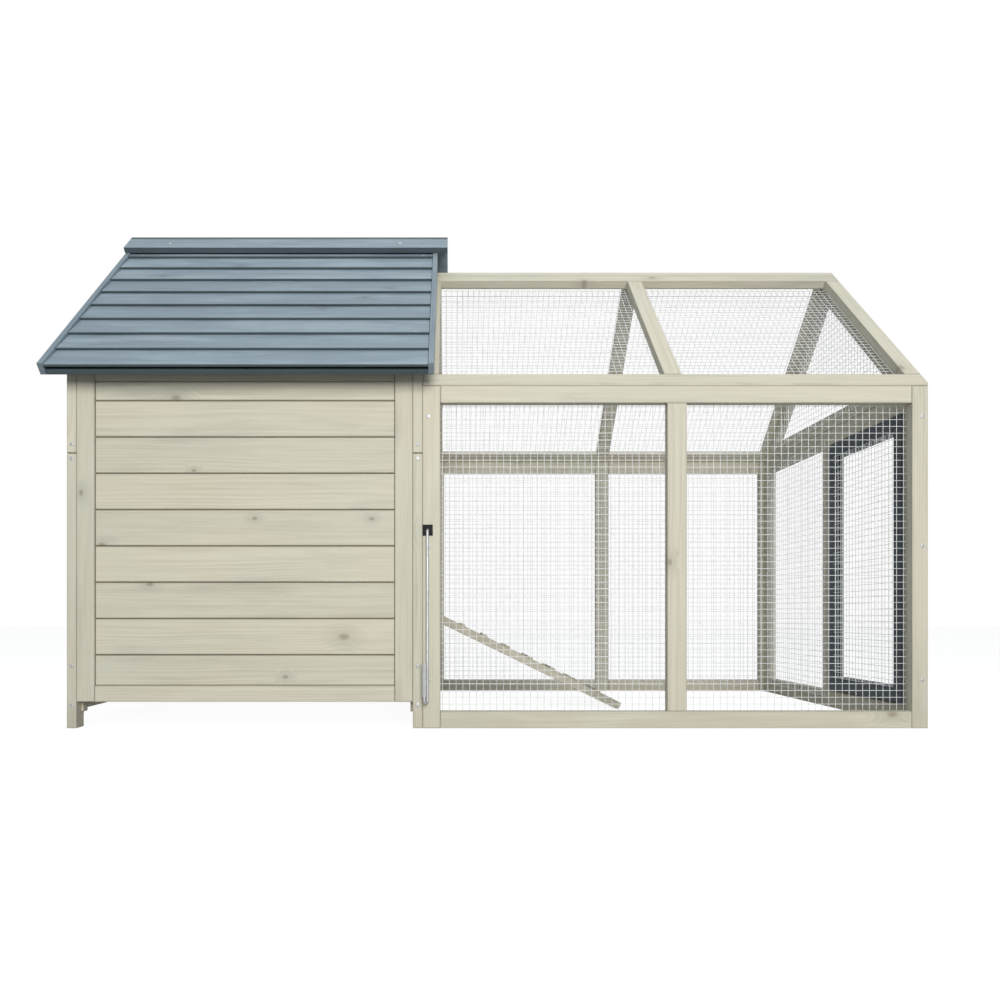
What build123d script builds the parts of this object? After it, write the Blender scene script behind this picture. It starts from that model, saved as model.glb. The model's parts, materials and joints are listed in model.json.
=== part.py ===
from build123d import *
from math import ceil, cos, radians, sin, tan
import os

os.makedirs("parts", exist_ok=True)

# A wooden chicken coop: a boarded house under a lapped board roof on the left, and a wire netted run
# on the right. Millimetres, +Z up, -Y is the front, +X runs from the house to the run.
# The origin is on the ground, at the middle of the whole length and depth.

# Clearances
joint_gap = 0.2          # between the members of one frame, where they butt
seat_gap = 0.3           # between pieces that rest on or against each other
door_gap = 2.0           # round a door in its opening
slide_gap = 0.5          # round a board that slides in a groove
pin_gap = 0.05           # round a hinge pin in its knuckle, and a rod in its bore

# Overall layout along the length
depth = 742.0            # front face to back face of the walls
house_length = 659.0     # outer face to outer face of the house's side panels
run_length = 935.4
cap_past_roof_left = 1.2
cap_past_roof_right = 22.9
roof_past_house_left = 27.8
roof_past_house_right = 22.0

# Lumber
run_thick = 17.0
rail_width = 32.0
post_thick = 18.0
post_depth = 30.0
board_thick = 9.0
board_pitch = 67.4
board_joint = 0.6
board_least = 12.0       # no board is ripped narrower than this
board_recess = 3.0
board_bevel = 1.5

# House side panels, from the ground up
foot_height = 34.0       # underside of the lowest side rail
slot_height = 34.0       # the tray's slot, between the two lower rails
split_height = 510.0     # where the gable stands on the lower side panel
post_bevel = 2.0

# House front and back walls
wall_bottom = 49.0
wall_stile = 33.0
wall_bottom_rail = 30.0
wall_top_rail = 37.0
wall_joint_height = 135.8  # the lowest joint between the wall's boards
strip_thick = 5.0
strip_depth = 17.0
strip_bottom = 29.0
strip_below_head = 4.0   # from the top of a corner strip to the underside of the top rail
house_door_width = 320.0

# House roof
house_pitch = 44.0
eave_overhang = 54.0
eave_above_run = 22.0    # the house's eaves above the run's walls
roof_thick = 20.0
barge_thick = 10.0
barge_lift = 2.0
course_count = 9
course_thick = 5.0
course_step = 5.3
course_lap = 8.0
roof_batten = 40.0
cap_thick = 12.0
cap_front_width = 53.0
cap_back_width = 69.0

# Run
run_height = 635.0
run_left_stile = 32.6
run_right_stile = 29.0
run_centre_stile = 35.5
run_centre_from_left = 453.4
run_top_rail = 32.0
run_bottom_rail = 31.5
side_front_stile = 31.0
side_mid_stile = 34.5
side_back_stile = 41.0
side_bottom_rail = 38.0
side_top_rail = 37.0
run_pitch = 44.5
run_roof_nose = 5.3      # upright edge of the run's roof above the front frame
run_roof_end_rafter = 30.0
run_roof_mid_rafter = 32.6
run_roof_mid_from_left = 453.6
ridge_joint = 0.5

# Wire net, square wires in two layers, set wider than in real netting
net_wire = 1.6
net_pitch = 76.2
net_lap = 14.0           # how far a net laps onto its frame

# Run door
run_door_width = 294.5
run_door_thick = 20.0
run_door_stile = 28.0
run_door_rail = 32.0

# Pop door in the house's right wall, with its sliding rod
pop_from_front = 309.0
pop_width = 191.0
pop_sill = 225.0
pop_trimmer = 20.0
pop_door_thick = 9.0
pop_door_lap = 10.0
groove_depth = 8.0
guide_thick = 20.0
guide_height = 28.0
guide_wall = 4.0         # between the groove and the house's wall
guide_spare = 6.0        # of the guides beyond the pop door, open or closed
pop_travel = 205.0
rod_radius = 2.5
rod_height = 367.0
rod_in_door = 25.0
rod_standoff = 7.0
rod_bend = 4.6
rod_low = 48.0
crook_width = 10.3
crook_bend = 4.9
crook_turn = 58.0        # how far the crook's plane is turned from the front's
grip_radius = 4.0
grip_length = 62.0
grip_base = 60.0
plate_width = 18.6
plate_height = 20.0
plate_thick = 2.0
rod_bore_gap = 0.4

# Ramp
ramp_angle = 26.0
ramp_thick = 17.0
ramp_width = 190.0
ramp_top = 211.8         # height of the walking face where it meets the guide
ramp_run = 408.3         # level length of the walking face
cleat_count = 7
cleat_width = 12.0
cleat_height = 4.0
cleat_inset = 14.0

# Hinges, with their leaves on the outer faces
knuckle_radius = 3.0
knuckle_off = 0.3        # between the knuckles and the face
leaf_thick = 1.2
leaf_width = 22.0
hinge_length = 50.0
middle_knuckle = 17.4
pin_radius = 1.5
ramp_leaf_width = 15.0
hinge_from_end = 90.0

# Door bolts
bolt_radius = 3.0
bolt_length = 62.0
bolt_gap = 0.2
bolt_plate_length = 46.0
bolt_plate_width = 28.0
bolt_plate_thick = 1.5
bolt_strap_length = 9.0
bolt_wall = 1.6
bolt_knob_radius = 2.4
bolt_knob_length = 6.5
bolt_knob_gap = 1.0      # between the knob and the strap behind it
bolt_plate_inset = 1.0   # of the plate from the door's edge
keeper_inset = 2.0       # of the keeper from the frame's edge

# Tray, runners and perch inside the house
tray_from_front = 37.0
tray_height = 30.0
tray_side_thick = 9.0
tray_base_thick = 3.0
tray_short = 21.0        # from the tray's far end to the house's outer face
runner_depth = 33.0
runner_height = 16.0
pull_width = 110.0
pull_height = 12.0
pull_reach = 16.0
pull_thick = 4.0
perch_from_front = 601.0
perch_bottom = 262.0
perch_width = 38.0
perch_height = 28.0
perch_round = 8.0

# Screw heads
screw_radius = 4.0
screw_height = 1.4
screw_sides = 12
house_screw_over_foot = 9.0     # above the underside of the lowest side rail
house_screw_under_split = 10.0  # below the joint of the lower panel and the gable
run_screw_from_left = 10.9
run_screw_from_right = 9.7
run_screw_under_top = 57.0
run_screw_over_middle = 20.0
run_screw_low = 89.0
cap_screw_from_left = 99.0
cap_screw_from_right = 109.0

# Places that follow from the sizes above
bolt_axis = bolt_plate_thick + bolt_wall + bolt_radius
hardware_proud = bolt_axis + bolt_knob_length
overall_length = (
    cap_past_roof_left + roof_past_house_left + house_length + seat_gap + run_length + hardware_proud
)
house_left = -overall_length / 2 + cap_past_roof_left + roof_past_house_left
house_right = house_left + house_length
run_left = house_right + seat_gap
run_right = run_left + run_length
front = -depth / 2
back = depth / 2
roof_left = house_left - roof_past_house_left
roof_right = house_right + roof_past_house_right

eave_height = run_height + eave_above_run
house_rise = tan(radians(house_pitch))
house_ridge = eave_height + (depth / 2 + eave_overhang) * house_rise
house_slope = (depth / 2 + eave_overhang) / cos(radians(house_pitch))
house_under_ridge = house_ridge - roof_thick / cos(radians(house_pitch)) - seat_gap
run_rise = tan(radians(run_pitch))
run_eave = run_height + seat_gap + run_roof_nose
run_ridge = run_eave + depth / 2 * run_rise
run_slope = depth / 2 / cos(radians(run_pitch))
run_under_ridge = run_ridge - run_thick / cos(radians(run_pitch)) - seat_gap

lower_rail_top = foot_height + rail_width
slot_top = lower_rail_top + slot_height
board_base = slot_top + rail_width
top_rail_base = split_height - rail_width
gable_base = split_height + seat_gap
wall_left = house_left + post_thick + seat_gap
wall_right = house_right - post_thick - seat_gap
wall_top = house_under_ridge - depth / 2 * house_rise
wall_head = wall_top - wall_top_rail
strip_top = wall_head - strip_below_head
door_axis_off = knuckle_radius + knuckle_off
net_deep = 2 * net_wire + joint_gap


def face_y(y):
    """A plane that stands across the depth at y: its x is the row's X, its y is Z, it faces -Y."""
    return Plane.XZ.offset(-y)


def face_x(x):
    """A plane that stands across the length at x: its x is the row's Y, its y is Z, it faces +X."""
    return Plane.YZ.offset(x)


def slope_plane(ridge, pitch, out):
    """The front slope's plane, out above its top face: y climbs to the ridge line, where it is 0."""
    lean = radians(pitch)
    normal = (0, -sin(lean), cos(lean))
    return Plane(origin=(0, 0, ridge), x_dir=(1, 0, 0), z_dir=normal).offset(out)


def slope_point(ridge, pitch, down, out):
    """(Y, Z) of a point on the front slope, down from the ridge line and out from the top face."""
    lean = radians(pitch)
    return (-down * cos(lean) - out * sin(lean), ridge - down * sin(lean) + out * cos(lean))


def patch(x0, x1, y0, y1, mode=Mode.ADD):
    """A rectangle of the sketch from its lowest to its highest corner."""
    with Locations(((x0 + x1) / 2, (y0 + y1) / 2)):
        Rectangle(x1 - x0, y1 - y0, mode=mode)


def block(x0, x1, y0, y1, z0, z1, mode=Mode.ADD):
    """A straight piece of lumber from its lowest to its highest corner."""
    with Locations(((x0 + x1) / 2, (y0 + y1) / 2, (z0 + z1) / 2)):
        Box(x1 - x0, y1 - y0, z1 - z0, mode=mode)


def outline(points, mode=Mode.ADD):
    """A face with straight sides through the points."""
    Polygon(*points, align=None, mode=mode)


def board_joints(first, low, high, centre, width):
    """Saws the sketch into boards, with a joint at first and at every pitch from it."""
    start = first - ceil((first - low) / board_pitch) * board_pitch
    heights = [start + row * board_pitch for row in range(ceil((high - start) / board_pitch))]
    kept = [height for height in heights if low + board_least < height < high - board_least]
    with Locations(*[(centre, height) for height in kept]):
        Rectangle(width, board_joint, mode=Mode.SUBTRACT)


def evenly(low, high):
    """The middles of a net's wires from one edge to the other, about the net's pitch apart."""
    steps = max(1, round((high - low - net_wire) / net_pitch))
    pitch = (high - low - net_wire) / steps
    return [low + net_wire / 2 + step * pitch for step in range(steps + 1)]


def net(plane, x0, x1, y0, y1):
    """A welded net under a plane: upright wires, and level ones behind them."""
    with BuildSketch(plane.offset(-net_wire)) as upright:
        for x in evenly(x0, x1):
            patch(x - net_wire / 2, x + net_wire / 2, y0, y1)
    extrude(upright.sketch, amount=net_wire)
    with BuildSketch(plane.offset(-net_deep)) as level:
        for y in evenly(y0, y1):
            patch(x0, x1, y - net_wire / 2, y + net_wire / 2)
    extrude(level.sketch, amount=net_wire)


def save(piece, label):
    """Names a finished sub-part and writes it."""
    piece.part.label = label
    export_step(piece.part, f"parts/{label}.step")


# House side panels: two posts and their rails, the boards let in between them
post_inner_front = front + post_depth
post_inner_back = back - post_depth
rail_span = (post_inner_front + joint_gap, post_inner_back - joint_gap)


def side_frame_sketch(trimmed):
    """Posts and rails of a lower side panel; a trimmed one frames the pop hole."""
    patch(front, post_inner_front, 0, split_height)
    patch(post_inner_back, back, 0, split_height)
    patch(*rail_span, foot_height, lower_rail_top)
    patch(*rail_span, slot_top, board_base)
    patch(*rail_span, top_rail_base, split_height)
    if trimmed:
        for y0 in (pop_front - pop_trimmer, pop_back):
            patch(y0, y0 + pop_trimmer, board_base + joint_gap, top_rail_base - joint_gap)
        patch(pop_front + joint_gap, pop_back - joint_gap, pop_sill - rail_width, pop_sill)


pop_front = front + pop_from_front
pop_back = pop_front + pop_width

with BuildPart() as house_left_frame:
    with BuildSketch(face_x(house_left)):
        side_frame_sketch(False)
    extrude(amount=post_thick)
    post_ends = house_left_frame.faces().filter_by(Axis.Z).group_by(Axis.Z)[-1]
    chamfer(post_ends.edges().filter_by(Axis.X), length=post_bevel)
save(house_left_frame, "house_left_frame")

with BuildPart() as house_right_frame:
    with BuildSketch(face_x(house_right - post_thick)):
        side_frame_sketch(True)
    extrude(amount=post_thick)
    post_ends = house_right_frame.faces().filter_by(Axis.Z).group_by(Axis.Z)[-1]
    chamfer(post_ends.edges().filter_by(Axis.X), length=post_bevel)
save(house_right_frame, "house_right_frame")

with BuildPart() as house_left_boards:
    with BuildSketch(face_x(house_left + board_recess)):
        panel_low = board_base + joint_gap
        panel_high = top_rail_base - joint_gap
        patch(*rail_span, panel_low, panel_high)
        board_joints(pop_sill, panel_low, panel_high, 0, depth)
    extrude(amount=board_thick)
    outer = house_left_boards.faces().group_by(Axis.X)[0]
    chamfer(outer.edges().filter_by(Axis.Y), length=board_bevel)
save(house_left_boards, "house_left_boards")

with BuildPart() as house_right_boards:
    with BuildSketch(face_x(house_right - board_recess - board_thick)):
        patch(rail_span[0], pop_front - pop_trimmer - joint_gap, panel_low, panel_high)
        patch(pop_back + pop_trimmer + joint_gap, rail_span[1], panel_low, panel_high)
        patch(pop_front + joint_gap, pop_back - joint_gap, panel_low, pop_sill - rail_width - joint_gap)
        board_joints(pop_sill, panel_low, panel_high, 0, depth)
    extrude(amount=board_thick)
    outer = house_right_boards.faces().group_by(Axis.X)[-1]
    chamfer(outer.edges().filter_by(Axis.Y), length=board_bevel)
save(house_right_boards, "house_right_boards")

# Gables: the upper side panels, cut to the underside of the roof
under_post_front = house_under_ridge - depth / 2 * house_rise
under_post_inner = house_under_ridge - (depth / 2 - post_depth) * house_rise
rafter_drop = rail_width / cos(radians(house_pitch))
gable_rail_top = gable_base + rail_width


def gable_frame_sketch():
    """Two short posts, the bottom rail and two rafters that meet at the ridge."""
    patch(*rail_span, gable_base, gable_rail_top)
    for side in (-1, 1):
        face = side * depth / 2
        inner = side * (depth / 2 - post_depth)
        rafter = side * (depth / 2 - post_depth - joint_gap)
        crown = side * joint_gap / 2
        outline(
            [(face, gable_base), (inner, gable_base), (inner, under_post_inner), (face, under_post_front)]
        )
        low_end = house_under_ridge - abs(rafter) * house_rise
        outline(
            [
                (rafter, low_end),
                (crown, house_under_ridge),
                (crown, house_under_ridge - rafter_drop),
                (rafter, low_end - rafter_drop),
            ]
        )


def gable_boards_sketch():
    """The boards let in between the posts, over the bottom rail and under the rafters."""
    under = house_under_ridge - rafter_drop - joint_gap / cos(radians(house_pitch))
    wall = rail_span[0]
    foot = gable_rail_top + joint_gap
    shoulder = under + wall * house_rise
    outline([(wall, foot), (-wall, foot), (-wall, shoulder), (0, under), (wall, shoulder)])
    board_joints(pop_sill, foot, under, 0, depth)


with BuildPart() as gable_left_frame:
    with BuildSketch(face_x(house_left)):
        gable_frame_sketch()
    extrude(amount=post_thick)
save(gable_left_frame, "gable_left_frame")

with BuildPart() as gable_right_frame:
    with BuildSketch(face_x(house_right - post_thick)):
        gable_frame_sketch()
    extrude(amount=post_thick)
save(gable_right_frame, "gable_right_frame")

with BuildPart() as gable_left_boards:
    with BuildSketch(face_x(house_left + board_recess)):
        gable_boards_sketch()
    extrude(amount=board_thick)
save(gable_left_boards, "gable_left_boards")

with BuildPart() as gable_right_boards:
    with BuildSketch(face_x(house_right - board_recess - board_thick)):
        gable_boards_sketch()
    extrude(amount=board_thick)
save(gable_right_boards, "gable_right_boards")

# Front wall: stiles and rails flush with the posts, boards a little behind their face
wall_rail_top = wall_bottom + wall_bottom_rail
wall_in_left = wall_left + wall_stile
wall_in_right = wall_right - wall_stile
house_middle = (house_left + house_right) / 2
wall_top_rail_end = wall_top - joint_gap

with BuildPart() as front_wall_frame:
    with BuildSketch(face_y(front + run_thick)):
        patch(wall_left, wall_in_left, wall_bottom, wall_top_rail_end)
        patch(wall_in_right, wall_right, wall_bottom, wall_top_rail_end)
        patch(wall_in_left + joint_gap, wall_in_right - joint_gap, wall_bottom, wall_rail_top)
        patch(wall_in_left + joint_gap, wall_in_right - joint_gap, wall_head, wall_top_rail_end)
    extrude(amount=run_thick)
save(front_wall_frame, "front_wall_frame")

with BuildPart() as front_wall_boards:
    with BuildSketch(face_y(front + board_recess + board_thick)):
        bay_low = wall_rail_top + joint_gap
        bay_high = wall_head - joint_gap
        patch(wall_in_left + joint_gap, wall_in_right - joint_gap, bay_low, bay_high)
        board_joints(wall_joint_height, bay_low, bay_high, house_middle, house_length)
    extrude(amount=board_thick)
    outer = front_wall_boards.faces().group_by(Axis.Y)[0]
    chamfer(outer.edges().filter_by(Axis.X), length=board_bevel)
save(front_wall_boards, "front_wall_boards")

# Back wall: the same, with a tall door between two narrow boarded bays
hatch_left = house_middle - house_door_width / 2
hatch_right = house_middle + house_door_width / 2
jamb_left = hatch_left - wall_stile
jamb_right = hatch_right + wall_stile

with BuildPart() as back_wall_frame:
    with BuildSketch(face_y(back)):
        for x0 in (wall_left, jamb_left, hatch_right, wall_in_right):
            patch(x0, x0 + wall_stile, wall_bottom, wall_top_rail_end)
        bays = ((wall_in_left, jamb_left), (hatch_left, hatch_right), (jamb_right, wall_in_right))
        for x0, x1 in bays:
            patch(x0 + joint_gap, x1 - joint_gap, wall_bottom, wall_rail_top)
            patch(x0 + joint_gap, x1 - joint_gap, wall_head, wall_top_rail_end)
    extrude(amount=run_thick)
save(back_wall_frame, "back_wall_frame")

with BuildPart() as back_wall_boards:
    with BuildSketch(face_y(back - board_recess)):
        for x0, x1 in ((wall_in_left, jamb_left), (jamb_right, wall_in_right)):
            patch(x0 + joint_gap, x1 - joint_gap, bay_low, bay_high)
        board_joints(wall_joint_height, bay_low, bay_high, house_middle, house_length)
    extrude(amount=board_thick)
    outer = back_wall_boards.faces().group_by(Axis.Y)[-1]
    chamfer(outer.edges().filter_by(Axis.X), length=board_bevel)
save(back_wall_boards, "back_wall_boards")

# Corner strips behind the walls' outer stiles, which stick out below them beside the posts
strip_front = front + run_thick + seat_gap

with BuildPart() as corner_strips:
    for x0 in (wall_left, wall_right - strip_thick):
        for y0 in (strip_front, -strip_front - strip_depth):
            block(x0, x0 + strip_thick, y0, y0 + strip_depth, strip_bottom, strip_top)
save(corner_strips, "corner_strips")

# House door: its frame and boards, in the back wall
door_left = hatch_left + door_gap
door_right = hatch_right - door_gap
door_low = wall_rail_top + door_gap
door_high = wall_head - door_gap

with BuildPart() as house_door_frame:
    with BuildSketch(face_y(back)):
        patch(door_left, door_left + rail_width, door_low, door_high)
        patch(door_right - rail_width, door_right, door_low, door_high)
        inner_left = door_left + rail_width + joint_gap
        inner_right = door_right - rail_width - joint_gap
        patch(inner_left, inner_right, door_low, door_low + rail_width)
        patch(inner_left, inner_right, door_high - rail_width, door_high)
    extrude(amount=run_thick)
save(house_door_frame, "house_door_frame")

with BuildPart() as house_door_boards:
    with BuildSketch(face_y(back - board_recess)):
        board_low = door_low + rail_width + joint_gap
        board_high = door_high - rail_width - joint_gap
        patch(inner_left, inner_right, board_low, board_high)
        board_joints(wall_joint_height, board_low, board_high, house_middle, house_length)
    extrude(amount=board_thick)
    outer = house_door_boards.faces().group_by(Axis.Y)[-1]
    chamfer(outer.edges().filter_by(Axis.X), length=board_bevel)
save(house_door_boards, "house_door_boards")

# House roof: on each slope a frame of battens between two barge boards, and the lapped boards
exposure = house_slope / course_count
barge_depth = roof_thick + barge_lift
head_drop = (exposure + course_lap) / exposure * course_step
batten_thick = roof_thick - course_thick - head_drop - seat_gap
inside_left = roof_left + barge_thick + joint_gap
inside_right = roof_right - barge_thick - joint_gap


def front_roof_frame():
    """Battens and barge boards of the front slope, in the slope's plane."""
    with BuildSketch(slope_plane(house_ridge, house_pitch, -roof_thick)) as battens:
        foot = roof_batten - house_slope
        head = -roof_thick - joint_gap
        patch(inside_left, inside_right, -house_slope, foot)
        patch(inside_left, inside_right, head - roof_batten, head)
        for x0 in (inside_left, inside_right - roof_batten):
            patch(x0, x0 + roof_batten, foot + joint_gap, head - roof_batten - joint_gap)
    extrude(battens.sketch, amount=batten_thick)
    with BuildSketch(slope_plane(house_ridge, house_pitch, -roof_thick)) as barges:
        for x0 in (roof_left, roof_right - barge_thick):
            patch(x0, x0 + barge_thick, -house_slope, head)
    extrude(barges.sketch, amount=barge_depth)


def front_roof_courses():
    """Nine boards, each lapping over the head of the one below it."""
    with BuildSketch(face_x(inside_left)) as courses:
        for row in range(course_count):
            foot = house_slope - row * exposure
            head = max(foot - exposure - course_lap, cap_thick + course_thick)
            drop = head_drop * (foot - head) / (exposure + course_lap)
            corners = [(foot, 0), (head, -drop), (head, -drop - course_thick), (foot, -course_thick)]
            outline([slope_point(house_ridge, house_pitch, *corner) for corner in corners])
    extrude(courses.sketch, amount=inside_right - inside_left)


with BuildPart() as roof_front_frame:
    front_roof_frame()
save(roof_front_frame, "roof_front_frame")

with BuildPart() as roof_back_frame:
    mirror(roof_front_frame.part, about=Plane.XZ)
save(roof_back_frame, "roof_back_frame")

with BuildPart() as roof_front_boards:
    front_roof_courses()
save(roof_front_boards, "roof_front_boards")

with BuildPart() as roof_back_boards:
    mirror(roof_front_boards.part, about=Plane.XZ)
save(roof_back_boards, "roof_back_boards")

# Ridge cap: the back leaf covers the upper end of the front one
cap_left = roof_left - cap_past_roof_left
cap_right = roof_right + cap_past_roof_right
cap_low = barge_lift + seat_gap
cap_high = cap_low + cap_thick
cap_lean = radians(house_pitch)


def back_point(down, out):
    """(Y, Z) of a point on the back slope."""
    y, z = slope_point(house_ridge, house_pitch, down, out)
    return (-y, z)


def crossing(out_front, out_back):
    """How far down the front slope its offset out_front meets the back slope's offset out_back."""
    return (out_front * cos(2 * cap_lean) - out_back) / sin(2 * cap_lean)


with BuildPart() as ridge_cap_front:
    with BuildSketch(face_x(cap_left)):
        head_out = crossing(cap_high, cap_low - seat_gap)
        head_in = crossing(cap_low, cap_low - seat_gap)
        corners = [
            (cap_front_width, cap_high),
            (cap_front_width, cap_low),
            (head_in, cap_low),
            (head_out, cap_high),
        ]
        outline([slope_point(house_ridge, house_pitch, *corner) for corner in corners])
    extrude(amount=cap_right - cap_left)
save(ridge_cap_front, "ridge_cap_front")

with BuildPart() as ridge_cap_back:
    with BuildSketch(face_x(cap_left)):
        top_out = crossing(cap_high, cap_high)
        top_in = crossing(cap_low, cap_high)
        corners = [
            (cap_back_width, cap_high),
            (cap_back_width, cap_low),
            (top_in, cap_low),
            (top_out, cap_high),
        ]
        outline([back_point(*corner) for corner in corners])
    extrude(amount=cap_right - cap_left)
save(ridge_cap_back, "ridge_cap_back")

# Tray that slides out to the left, its two runners and its pull
tray_half = -(front + tray_from_front)
tray_low = lower_rail_top + seat_gap
tray_high = tray_low + tray_height
tray_end = house_right - tray_short
tray_inner_half = tray_half - tray_side_thick - joint_gap

with BuildPart() as tray_runners:
    with BuildSketch(Plane.XY.offset(tray_low - seat_gap - runner_height)):
        near = front + run_thick + strip_depth + 2 * seat_gap
        for y0 in (near, -near - runner_depth):
            patch(wall_left, wall_right, y0, y0 + runner_depth)
    extrude(amount=runner_height)
save(tray_runners, "tray_runners")

with BuildPart() as tray_sides:
    with BuildSketch(Plane.XY.offset(tray_low)):
        for x0 in (house_left, tray_end - tray_side_thick):
            patch(x0, x0 + tray_side_thick, -tray_half, tray_half)
        tray_inner = (house_left + tray_side_thick + joint_gap, tray_end - tray_side_thick - joint_gap)
        for y0 in (-tray_half, tray_half - tray_side_thick):
            patch(*tray_inner, y0, y0 + tray_side_thick)
    extrude(amount=tray_height)
save(tray_sides, "tray_sides")

with BuildPart() as tray_base:
    block(*tray_inner, -tray_inner_half, tray_inner_half, tray_low, tray_low + tray_base_thick)
save(tray_base, "tray_base")

with BuildPart() as tray_pull:
    with BuildSketch(Plane.XY.offset(tray_low + tray_height / 2 - pull_height / 2)):
        patch(house_left - pull_reach, house_left - seat_gap, -pull_width / 2, pull_width / 2)
        hollow = pull_width / 2 - pull_thick
        patch(house_left - pull_reach + pull_thick, house_left, -hollow, hollow, mode=Mode.SUBTRACT)
    extrude(amount=pull_height)
    corners = tray_pull.edges().filter_by(Axis.Z).group_by(Axis.X)[0]
    fillet(corners, radius=pull_thick)
save(tray_pull, "tray_pull")

# Perch from side wall to side wall, with its upper edges rounded
with BuildPart() as perch:
    perch_ends = board_recess + board_thick + seat_gap
    perch_y = front + perch_from_front
    with BuildSketch(face_x(house_left + perch_ends)):
        patch(perch_y - perch_width / 2, perch_y + perch_width / 2, perch_bottom, perch_bottom + perch_height)
    extrude(amount=house_length - 2 * perch_ends)
    upper = perch.faces().sort_by(Axis.Z)[-1].edges().filter_by(Axis.X)
    fillet(upper, radius=perch_round)
save(perch, "perch")

# Run front: stiles with the rails between them, the net on the inner face
centre_left = run_left + run_centre_from_left
centre_right = centre_left + run_centre_stile
run_in_left = run_left + run_left_stile
run_in_right = run_right - run_right_stile
rod_x = house_right + seat_gap + guide_wall + slide_gap + pop_door_thick / 2
rod_bore = rod_radius + rod_bore_gap


def run_wall_sketch():
    """Stiles and rails of a long side of the run."""
    patch(run_left, run_in_left, 0, run_height)
    patch(centre_left, centre_right, 0, run_height)
    patch(run_in_right, run_right, 0, run_height)
    for x0, x1 in ((run_in_left, centre_left), (centre_right, run_in_right)):
        patch(x0 + joint_gap, x1 - joint_gap, 0, run_bottom_rail)
        patch(x0 + joint_gap, x1 - joint_gap, run_height - run_top_rail, run_height)


side_panel_left = run_right - run_thick
net_left = run_in_left - net_lap
net_right = side_panel_left - seat_gap
net_low = run_bottom_rail - net_lap
net_high = run_height - run_top_rail + net_lap

with BuildPart() as run_front_frame:
    with BuildSketch(face_y(front + run_thick)):
        run_wall_sketch()
        with Locations((rod_x, rod_height)):
            Circle(rod_bore, mode=Mode.SUBTRACT)
    extrude(amount=run_thick)
save(run_front_frame, "run_front_frame")

with BuildPart() as run_back_frame:
    with BuildSketch(face_y(back)):
        run_wall_sketch()
    extrude(amount=run_thick)
save(run_back_frame, "run_back_frame")

with BuildPart() as run_front_net:
    net(face_y(front + run_thick + joint_gap), net_left, net_right, net_low, net_high)
save(run_front_net, "run_front_net")

with BuildPart() as run_back_net:
    mirror(run_front_net.part, about=Plane.XZ)
save(run_back_net, "run_back_net")

# Run side panel between the front and the back, with the door's opening and a netted bay
side_front = front + run_thick + seat_gap
side_back = back - run_thick - seat_gap
opening_front = side_front + side_front_stile
opening_back = opening_front + run_door_width
mid_back = opening_back + side_mid_stile
bay_back = side_back - side_back_stile
opening_low = side_bottom_rail
opening_high = run_height - side_top_rail

with BuildPart() as run_side_frame:
    with BuildSketch(face_x(side_panel_left)):
        patch(side_front, opening_front, 0, run_height)
        patch(opening_back, mid_back, 0, run_height)
        patch(bay_back, side_back, 0, run_height)
        for y0, y1 in ((opening_front, opening_back), (mid_back, bay_back)):
            patch(y0 + joint_gap, y1 - joint_gap, 0, opening_low)
            patch(y0 + joint_gap, y1 - joint_gap, opening_high, run_height)
    extrude(amount=run_thick)
save(run_side_frame, "run_side_frame")

with BuildPart() as run_side_net:
    inner_face = face_x(side_panel_left - joint_gap)
    net(inner_face, mid_back - net_lap, bay_back + net_lap, opening_low - net_lap, opening_high + net_lap)
save(run_side_net, "run_side_net")

# Run gable: a triangle on top of the side panel, under the roof
run_gable_base = run_height + seat_gap
run_gable_rail_top = run_gable_base + rail_width
run_rafter_drop = rail_width / cos(radians(run_pitch))


def under_run_roof(z, drop=0.0):
    """Distance from the middle at which the roof's underside, or drop below it, is at height z."""
    return (run_under_ridge - drop - z) / run_rise


with BuildPart() as run_gable_frame:
    with BuildSketch(face_x(side_panel_left)):
        base_half = under_run_roof(run_gable_base)
        rail_half = under_run_roof(run_gable_rail_top)
        outline(
            [
                (-base_half, run_gable_base),
                (base_half, run_gable_base),
                (rail_half, run_gable_rail_top),
                (-rail_half, run_gable_rail_top),
            ]
        )
        rafter_foot = run_gable_rail_top + joint_gap
        for side in (-1, 1):
            outline(
                [
                    (side * under_run_roof(rafter_foot), rafter_foot),
                    (side * joint_gap / 2, run_under_ridge),
                    (side * joint_gap / 2, run_under_ridge - run_rafter_drop),
                    (side * under_run_roof(rafter_foot, run_rafter_drop), rafter_foot),
                ]
            )
    extrude(amount=run_thick)
save(run_gable_frame, "run_gable_frame")


with BuildPart() as run_gable_net:
    gable_net_low = run_gable_rail_top - net_lap
    gable_net_drop = run_rafter_drop - net_lap / cos(radians(run_pitch))
    gable_net_top = run_under_ridge - gable_net_drop
    wires_aside = int(under_run_roof(gable_net_low, gable_net_drop) / net_pitch)
    with BuildSketch(inner_face.offset(-net_wire)):
        for column in range(-wires_aside, wires_aside + 1):
            wire = column * net_pitch
            wire_top = gable_net_top - (abs(wire) + net_wire / 2) * run_rise
            patch(wire - net_wire / 2, wire + net_wire / 2, gable_net_low, wire_top)
    extrude(amount=net_wire)
    with BuildSketch(inner_face.offset(-net_deep)):
        for row in range(int((gable_net_top - gable_net_low) / net_pitch) + 1):
            wire = gable_net_low + row * net_pitch
            wire_half = under_run_roof(wire + net_wire, gable_net_drop)
            patch(-wire_half, wire_half, wire, wire + net_wire)
    extrude(amount=net_wire)
save(run_gable_net, "run_gable_net")

# Run roof: two netted panels, the back one's edge covering the front one's at the ridge
roof_in_left = run_left + run_roof_end_rafter
roof_in_right = run_right - run_roof_end_rafter
mid_rafter_left = run_left + run_roof_mid_from_left
mid_rafter_right = mid_rafter_left + run_roof_mid_rafter
seat_level = run_height + seat_gap


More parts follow.
